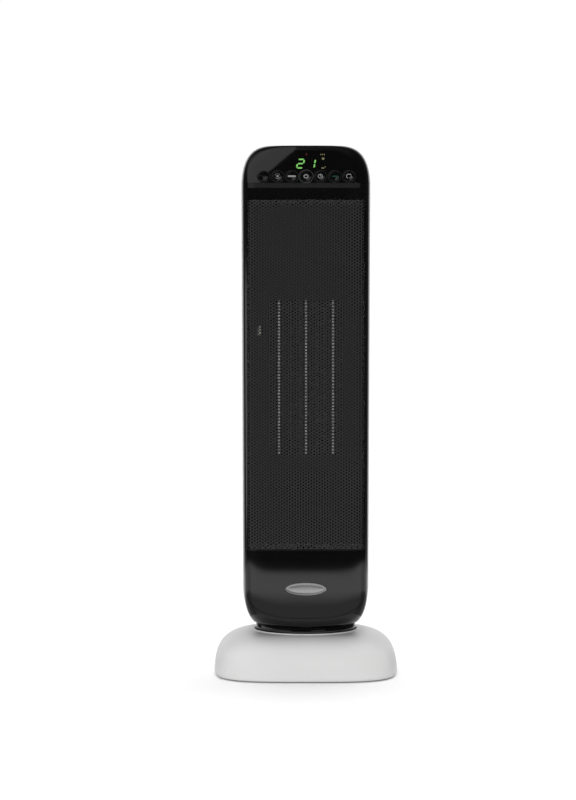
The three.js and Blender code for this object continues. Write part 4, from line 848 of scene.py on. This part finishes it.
def display():
    """Two lit digits and the small lamps beside them, flush in the panel."""
    wide, tall, lean = 6.8, 10.6, 0.16
    bars = {
        "a": (0, tall, wide, tall), "b": (wide, tall / 2, wide, tall), "c": (wide, 0, wide, tall / 2),
        "d": (0, 0, wide, 0), "e": (0, 0, 0, tall / 2), "g": (0, tall / 2, wide, tall / 2),
    }
    for name, x, lit in (("digit_left", -10.4, "abged"), ("digit_right", 2.0, "bc")):
        outlines = []
        for key in lit:
            shape = segment(*bars[key])
            shape[:, 0] += lean * shape[:, 1] + x
            outlines.append(shape + (0, 10.4))
        dress(on_panel(flat_mark(name, outlines, 0.05)), "head", "led_green")
    lamps = [rounded_outline(1.1, 1.6, 0.4, x, 27.0, 4) for x in (16.4, 18.4, 20.4)]
    lamps += [disc(1.5, 19.0, 21.9), rounded_outline(3.6, 1.3, 0.6, 18.6, 10.3, 4), disc(0.6, 21.3, 11.8)]
    dress(on_panel(flat_mark("status_lamps", lamps, 0.05)), "head", "led_amber")
    dress(on_panel(flat_mark("heat_lamp", [disc(0.8, 0.6, 27.2)], 0.05)), "head", "led_red")


def on_panel(mark):
    """Lays flat marks on the panel's face, which curves a little across its width."""
    for vertex in mark.data.vertices:
        x, up, out = np.array(vertex.co) / MM
        spot = panel_place(x, up, 0)
        spot[1] = float(front_at(x, spot[2]))
        normal = np.array([0, -cos(PANEL_TILT), sin(PANEL_TILT)])
        vertex.co = Vector(spot + normal * (out + 0.01)) * MM
    return mark


# ---- behind the grille


TUBE_HALF, TUBE_FRONT, TUBE_DEPTH = 1.9, -49.85, 17.0
FIN_RISE = 2.2  # of a fin's rear edge over its front one, so that nothing shows straight through


def ceramic_tubes():
    for index, x in enumerate((-30.0, 0.0, 30.0)):
        name = f"ceramic_tube_{index + 1}"
        block = rounded_block(name + "_bar", (x - TUBE_HALF, TUBE_FRONT, WINDOW_BOTTOM + GAP),
                              (x + TUBE_HALF, TUBE_FRONT + TUBE_DEPTH, WINDOW_TOP - GAP), 0.5)
        # the bars take the pale copy of aluminium: painted light that makes them look lit
        dress(block, "head", "aluminium", name, TUBE_PAINTED_LIGHT)


FIN_CHANNELS = {
    "fin_pack_1": [(-41.0, -32.4)],
    "fin_pack_2": [(-27.6, -17.4), (-17.0, -10.2), (-9.8, -6.3), (-5.9, -2.4)],
    "fin_pack_3": [(2.4, 12.0), (12.4, 20.4), (20.8, 27.6)],
    "fin_pack_4": [(32.4, 41.0)],
}


def folded_strip(x0, x1, fold=1.25, thick=0.16):
    """Aluminium strip folded to and fro between two plates, as air passes through it."""
    low, high = WINDOW_BOTTOM + 0.6, WINDOW_TOP - 2.8
    count = int((high - low) / fold)
    z = np.linspace(low, high, count + 1)
    x = np.where(np.arange(count + 1) % 2, x1, x0)
    points, faces = [], []
    for y, rise in ((-48.6, 0.0), (-34.1, FIN_RISE)):
        for offset in (-thick, thick):
            points += [(px, y, pz + offset + rise) for px, pz in zip(x, z)]
    size = count + 1
    for k in range(count):
        for a, b in ((0, 1), (1, 3), (3, 2), (2, 0)):
            faces.append((a * size + k, a * size + k + 1, b * size + k + 1, b * size + k))
    faces += [(0, size, 3 * size, 2 * size), tuple(n * size + count for n in (0, 2, 3, 1))]
    return mesh_object("fold", points, faces)


def fin_packs():
    for name, channels in FIN_CHANNELS.items():
        fins = fused(f"{name}_fins", [folded_strip(*channel) for channel in channels])
        dress(fins, "head", "aluminium", name, FIN_METAL)
        edges = sorted({edge for channel in channels for edge in channel})
        low, high = (-48.8, WINDOW_BOTTOM + 0.4), (-33.9, WINDOW_TOP - 0.4)
        plates = [rounded_block("plate", (left, *low), (right, *high), 0.08, 1)
                  for left, right in zip(edges[1:-1:2], edges[2:-1:2])]
        if plates:
            dress(fused(f"{name}_plates", plates), "head", "aluminium", name, PLATE_METAL)


def room_sensor():
    low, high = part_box("room_sensor")
    block = rounded_block("room_sensor_bead", tuple(low / MM), tuple(high / MM), 1.2, 4)
    dress(block, "head", "acetal", "room_sensor")


# ---- rear


def filter_frame():
    shell = head_form("filter_surround", proud=REAR_PROUD)
    cut(shell, head_form("inside", WALL, REAR_PROUD))
    zone = prism("zone", rounded_outline(FILTER_WIDTH, FILTER_HEIGHT, 2.6, 0, FILTER_Z), REAR_CUT, FAR)
    combine(shell, zone, "INTERSECT")
    bar, border, columns, rows = 4, 6, 2, 6
    width, height = FILTER_WIDTH - 2 * border, FILTER_HEIGHT - 2 * border
    wide, tall = (width - (columns - 1) * bar) / columns, (height - (rows - 1) * bar) / rows
    for column in range(columns):
        for row in range(rows):
            x = -width / 2 + column * (wide + bar) + wide / 2
            z = FILTER_Z - height / 2 + row * (tall + bar) + tall / 2
            cut(shell, prism("cell", rounded_outline(wide, tall, 2.4, x, z), REAR_CUT, FAR))
    shade_as_form(shell, REAR_PROUD)
    dress(shell, "filter", "white_plastic", "filter_frame")


def strand(along, across, length, centre, pitch, phase, depth):
    """One thread of the net: a wavy square wire that passes over and under the threads it crosses."""
    count = int(round(length / pitch)) * 2 + 1
    run = np.linspace(centre - length / 2, centre + length / 2, count)
    wave = 0.16 * np.cos(np.arange(count) * pi / 2 + phase)
    half = 0.2
    rings = []
    for position, lift in zip(run, wave):
        square = [(-half, -half), (half, -half), (half, half), (-half, half)]
        if along == "X":
            rings.append([(position, depth + lift + v, across + u) for u, v in square])
        else:
            rings.append([(across + u, depth + lift + v, position) for u, v in square])
    points = np.array(rings).reshape(-1, 3)
    faces = [(4 * k + i, 4 * k + (i + 1) % 4, 4 * k + 4 + (i + 1) % 4, 4 * k + 4 + i)
             for k in range(count - 1) for i in range(4)]
    faces += [(3, 2, 1, 0), tuple(4 * (count - 1) + i for i in range(4))]
    return points, faces


def filter_net():
    """The dust net: two sets of fine threads behind the frame's cells."""
    low, high = (np.array(corner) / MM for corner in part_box("filter_mesh"))
    middle, pitch = (low + high) / 2, 2.4
    points, faces = [], []

    def add(new):
        faces.extend([v + len(points) for v in face] for face in new[1])
        points.extend(new[0].tolist())

    for k, x in enumerate(np.arange(low[0] + 1.2, high[0] - 0.6, pitch)):
        add(strand("Z", x, high[2] - low[2] - 1, middle[2], pitch, pi * (k % 2), middle[1]))
    for k, z in enumerate(np.arange(low[2] + 1.2, high[2] - 0.6, pitch)):
        add(strand("X", z, high[0] - low[0] - 1, middle[0], pitch, pi * ((k + 1) % 2), middle[1]))
    dress(mesh_object("filter_net", points, faces), "filter", "filter_cloth", "filter_mesh")


def main_switch():
    flange = rounded_block("switch_surround", (-11.9, 69.3, 106), (11.9, 70.9, 138), 0.7, 4)
    combine(flange, rounded_block("body", (-9.9, 49, 108), (9.9, 69.6, 136), 0.8), "UNION")
    cut(flange, rounded_block("pocket", (-7.9, 58, 110.4), (7.9, 90, 133.6), 0.6))
    soften(flange, radians(30))
    dress(flange, "head", "black_satin", "switch_housing")
    end = 10.4

    def dish(z):
        """Height of the rocker's hollow face, z away from its middle."""
        return 3.4 + 1.2 * (abs(z) / (end - 0.9)) ** 1.6

    side = [(-5, 0.8 - end), (3.9, -end), (4.45, 0.35 - end), (4.6, 0.9 - end)]
    side += [(dish(t), t) for t in np.linspace(1.0 - end, end - 1.0, 25)]
    side += [(4.6, end - 0.9), (4.45, end - 0.35), (3.9, end), (-5, end - 0.8)]
    ends = ((-7.5, 0.93), (-7.35, 0.98), (-7.0, 1.0), (7.0, 1.0), (7.35, 0.98), (7.5, 0.93))
    rings = [[(x, y * shrink if y > 0 else y, z * (0.4 + 0.6 * shrink)) for y, z in side]
             for x, shrink in ends]
    tilt = upright(0, 67, 122) @ Matrix.Rotation(radians(8), 4, "X")
    rocker = loft("rocker_cap", rings)
    rocker.data.transform(tilt)
    soften(rocker, radians(30))
    dress(rocker, "main_rocker", "black_gloss", "switch_rocker")
    circle = [band(arc(1.5, start, start + 180, 16, 0, -6.0), 0.6) for start in (0, 180)]
    marks = flat_mark("rocker_marks", [rounded_outline(0.8, 3.6, 0.3, 0, 6.0, 4), *circle])
    for vertex in marks.data.vertices:
        x, z, out = np.array(vertex.co) / MM
        vertex.co = tilt @ (Vector((-x, dish(z) + out * 0.8 - 0.01, z)) * MM)
    dress(marks, "main_rocker", "print_white")


def screw_head(name, place):
    """A pan head with a cross recess, on a short shank."""
    outline = [(0.3, -12.9), (1.7, -11.5), (1.7, 0), (3.3, 0), (3.5, 0.2), (3.46, 0.7), (3.25, 1.15),
               (2.9, 1.5), (2.3, 1.72), (1.2, 1.8)]
    made = turned(name, outline, 48)
    for turn in (0, pi / 2):
        slot = rounded_block("slot", (-1.9, -0.42, 0.5), (1.9, 0.42, 3), 0.1, 1)
        slot.data.transform(Matrix.Rotation(turn, 4, "Z"))
        cut(made, slot)
    soften(made)
    made.data.transform(place)
    return made


def fit_screw(body, index, place, turn):
    node = f"{body}_screw_{index + 1}"
    dress(screw_head(node + "_cross", place @ Matrix.Rotation(turn * index, 4, "Z")), body, "steel", node)


def screws():
    for index, (x, z) in enumerate(POSTS):
        fit_screw("head", index, facing(x, 51.9, z, -pi / 2), 0.5)
    for index, turn in enumerate(map(radians, (30, 150, 210, 330))):
        low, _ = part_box(f"base_screw_{index + 1}")
        fit_screw("base", index, facing(70 * cos(turn), 70 * sin(turn), low.z / MM + 1.8, pi), 0.7)


# ---- neck and base


def swivel_collar():
    outline = [(9, 5), (12, 5), (12, 39.8), (61.5, 39.8), (62, 40.3), (62, 43.1), (61.6, 43.5), (56, 43.5),
               (56, 49.6), (55.75, 49.85), (55.75, 50.35), (56, 50.6), (56, 54.8), (55.9, 55.25),
               (55.6, 55.55), (55.1, 55.7), (39.5, 55.7), (39.5, 64), (39, 64.5), (36.5, 64.5),
               (36.5, 52.7), (52, 52.7), (52, 43.5), (9, 43.5)]
    dress(turned("neck_collar", outline, 160, True), "head", "black_satin", "swivel_collar")


def base_radius(angles, half):
    total = np.abs(np.cos(angles)) ** BASE_POWER + np.abs(np.sin(angles)) ** BASE_POWER
    return half * total ** (-1 / BASE_POWER)


def base_shell():
    """The domed shell with a raised lip around the neck, as one closed skin."""
    angles = np.linspace(0, 2 * pi, 224, endpoint=False)

    def ring(inset, z):
        return ring_at(base_radius(angles, BASE_HALF - inset), angles, z)

    def dome(half, rim, top, steps, least):
        for k in range(steps + 1):
            height = sin(k * pi / (2 * steps))
            share = float(1 - rounding(height, 2.4))
            if share > least:
                radius = HOLE_RADIUS + (base_radius(angles, half) - HOLE_RADIUS) * share
                yield ring_at(radius, angles, rim + (top - rim) * height)

    rings = [ring(*edge) for edge in ((2.5, 1.2), (1.7, 1.45), (1.0, 2.1), (0.45, 3.1), (0.12, 4.2))]
    rings += list(dome(BASE_HALF, 5.2, BASE_TOP, 40, 0.075))
    lip = [(60.4, 47.95), (59.9, 48.0), (59.6, 48.15), (59.5, 48.45), (59.42, 48.8), (59.2, 49.05),
           (58.85, 49.18), (58.5, 49.2), (58.15, 49.18), (57.8, 49.05), (57.58, 48.8), (57.5, 48.45),
           (57.5, 45.0)]
    rings += [ring_at(r, angles, z) for r, z in lip]
    rings += list(dome(BASE_HALF - BASE_WALL, 7.3, BASE_TOP - BASE_WALL, 24, 0.03))[::-1]
    rings += [ring(BASE_WALL, 1.4), ring(BASE_WALL - 0.2, 1.2)]
    shell = loft("base_dome", rings, looped=True)
    dress(shell, "base", "white_plastic", "base_shell")


def feet():
    outline = [(1.2, 0.5), (2.0, 0.5), (2.3, 0.0), (3.9, 0.0), (4.2, 0.5), (5.0, 0.5), (5.3, 0.0), (8.0, 0.0),
               (8.6, 0.15), (8.9, 0.5), (9.0, 1.0), (9.0, 3.2)]
    for node in ("foot_front_left", "foot_front_right", "foot_rear_left", "foot_rear_right"):
        low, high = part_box(node)
        centre = (low + high) / 2 / MM
        pad = turned(f"{node}_pad", outline, 64, place=upright(centre.x, centre.y, 0))
        dress(pad, "base", "rubber", node)


def cord_gland():
    outline = [(3.4, -12), (5.3, -12), (5.6, -11.6), (5.6, 0), (7.6, 0), (8.0, 0.3), (7.9, 0.8), (6.7, 1.1),
               (6.6, 1.35), (7.1, 1.5), (7.1, 1.85), (6.0, 2.0), (5.9, 2.2), (6.2, 2.35), (6.1, 2.55),
               (5.6, 2.6), (3.8, 2.6), (3.4, 2.3)]
    place = facing(0, BASE_HALF + GAP, 16, -pi / 2)
    dress(turned("cord_gland_boot", outline, 64, True, place), "base", "rubber", "cord_gland")


# ---- build

front_casing()
rear_casing()
chin_fascia()
badge()
outlet_grille()
control_panel()
buttons()
display()
ceramic_tubes()
fin_packs()
room_sensor()
filter_frame()
filter_net()
main_switch()
screws()
swivel_collar()
base_shell()
feet()
cord_gland()

slot_of = {part["node"]: part["material_slot"] for part in frame["record"]["subparts"]}
for node, piece in frame["nodes"].items():
    if not piece.hide_render:
        piece.data.materials.clear()
        piece.data.materials.append(MATERIALS[slot_of[node]])
        soften(piece, radians(30))

# ---- floor, light and camera

FLOOR_HALF = 9000.0
SENSOR_WIDTH = 36
FOCAL_PIXELS, PICTURE_HEIGHT = 3097, 800
CAMERA_PLACE = (-0.020, -3.5, 0.49)  # metres
CAMERA_DROP = 2.978  # degrees below level


def floor():
    corners = [(x * FLOOR_HALF, y * FLOOR_HALF, 0) for x, y in ((-1, -1), (1, -1), (1, 1), (-1, 1))]
    made = mesh_object("floor", corners, [(0, 1, 2, 3)])
    look, tree, shader = material("floor_white")
    feed(tree, shader, {
        "Base Color": blend_colours(tree, noise(tree, 3.0), grey(0.90), grey(0.92)), "Roughness": 0.6,
        "Emission Color": (1, 1, 1, 1), "Emission Strength": 0.10,
    })
    made.data.materials.append(look)
    made.visible_glossy = False


def sky():
    """White to the camera and an even dome for soft light. Gloss sees a dark studio with soft boxes."""
    world = bpy.data.worlds.new("studio")
    scene.world = world
    world.use_nodes = True
    tree = world.node_tree
    tree.nodes.clear()

    def value(operation, *inputs):
        return node_of(tree, "Math", dict(enumerate(inputs)), operation=operation).outputs[0]

    def times(*inputs):
        return reduce(lambda a, b: value("MULTIPLY", a, b), inputs)

    def most(*inputs):
        return reduce(lambda a, b: value("MAXIMUM", a, b), inputs)

    def ramp(given, start, end, low=0.0, high=1.0):
        """Smoothly from one value to another while a direction's angle runs from start to end."""
        inputs = {"From Min": start, "From Max": end, "To Min": low, "To Max": high, "Value": given}
        return node_of(tree, "MapRange", inputs, interpolation_type="SMOOTHSTEP").outputs["Result"]

    def patch(azimuth, elevation, level, soft=4.0):
        """A soft-edged box of light between two azimuths and two elevations."""
        edges = []
        for angle, (start, end) in ((across, azimuth), (up, elevation)):
            edges += [ramp(angle, start - soft, start + soft), ramp(angle, end - soft, end + soft, 1.0, 0.0)]
        return times(*edges, level)

    direction = tree.nodes.new("ShaderNodeSeparateXYZ")
    tree.links.new(tree.nodes.new("ShaderNodeTexCoord").outputs["Generated"], direction.inputs[0])
    x, y, z = direction.outputs
    across = value("DEGREES", value("ARCTAN2", x, times(y, -1.0)))
    up = value("DEGREES", value("ARCSINE", z))

    # what the control panel mirrors: lit above a slanted edge that bends down on the left
    bend = value("POWER", most(value("SUBTRACT", most(times(across, -1.0), 0.0), 6.0), 0.0), 2.0)
    edge = value("SUBTRACT", 51.75, times(bend, 0.012))
    key = times(ramp(value("SUBTRACT", up, edge), -0.06, 0.10), ramp(across, -0.3, 0.0, 1.0, 0.0),
                ramp(across, -150.0, -80.0), ramp(up, 22.0, 34.0, 0.0, 0.80))
    strip = patch((-60.0, 48.0), (20.5, 31.0), 0.32, 2.0)  # what the bevel under the panel mirrors

    # what the sides and the chin mirror
    side = patch((-126.0, -84.0), (-5.4, -0.9), 0.75, 0.5)
    wing = value("ADD", patch((-84.0, -34.0), (-5.6, -1.6), 0.5, 0.5),
                 patch((-84.0, -34.0), (12.0, 34.0), 0.5, 4.0))
    right = patch((12.0, 46.0), (-4.4, -0.3), 0.45, 0.5)
    ceiling = times(ramp(up, 58.0, 72.0), ramp(across, -6.0, 6.0, 0.45, 0.08))
    behind = times(ramp(y, 0.80, 0.97), 0.55)

    aside = ramp(value("ABSOLUTE", across), 50.0, 92.0)
    ahead = times(ramp(up, -21.0, -6.5, 0.5, 1.3), value("SUBTRACT", 1.0, aside))
    beside = times(ramp(up, -13.0, -6.5, 0.22, 0.7), aside)
    ground = times(ramp(up, -6.1, -6.22), value("ADD", ahead, beside))
    studio = value("ADD", most(key, strip, side, wing, right, ceiling, behind, ground), 0.045)

    def background(level):
        return node_of(tree, "Background", {"Color": (1, 1, 1, 1), "Strength": level}).outputs[0]

    path = tree.nodes.new("ShaderNodeLightPath")

    def choose(flag, first, second):
        return node_of(tree, "MixShader", {"Fac": path.outputs[flag], 1: first, 2: second}).outputs[0]

    soft = value("ADD", times(y, 0.40), 0.56)
    lit = choose("Is Glossy Ray", background(soft), background(studio))
    output = tree.nodes.new("ShaderNodeOutputWorld")
    tree.links.new(choose("Is Camera Ray", lit, background(1.02)), output.inputs["Surface"])


def lamp_object(name, kind, energy):
    """A lamp that neither the camera nor gloss sees."""
    data = bpy.data.lights.new(name, kind)
    data.energy = energy
    made = add_object(name, data)
    made.visible_camera = False
    made.visible_glossy = False
    return made


def area_light(name, place, target, size, power):
    made = lamp_object(name, "AREA", power)
    made.data.shape = "RECTANGLE"
    made.data.size, made.data.size_y = size
    aim = (Vector(target) - Vector(place)).to_track_quat("-Z", "Y").to_matrix().to_4x4()
    made.matrix_world = Matrix.Translation(place) @ aim


def sun_light(toward, spread_degrees, strength):
    """A wide, even key light from one direction."""
    made = lamp_object("key", "SUN", strength)
    made.data.angle = radians(spread_degrees)
    made.rotation_euler = Vector(toward).to_track_quat("Z", "Y").to_euler()


def camera():
    """The photograph's view, as fitted to the object's proportions in it."""
    data = bpy.data.cameras.new("camera")
    data.sensor_width = SENSOR_WIDTH
    data.lens = FOCAL_PIXELS / PICTURE_HEIGHT * SENSOR_WIDTH
    made = add_object("camera", data)
    made.location = CAMERA_PLACE
    made.rotation_euler = (radians(90 - CAMERA_DROP), 0, 0)
    scene.camera = made


floor()
sky()
camera()
sun_light((0.05, 0.42, 0.9), 60, 2.1)
area_light("front_fill", (-0.4, -2.6, 0.7), (0, 0, 0.3), (0.9, 0.9), 33)
scene.view_settings.view_transform = "Standard"
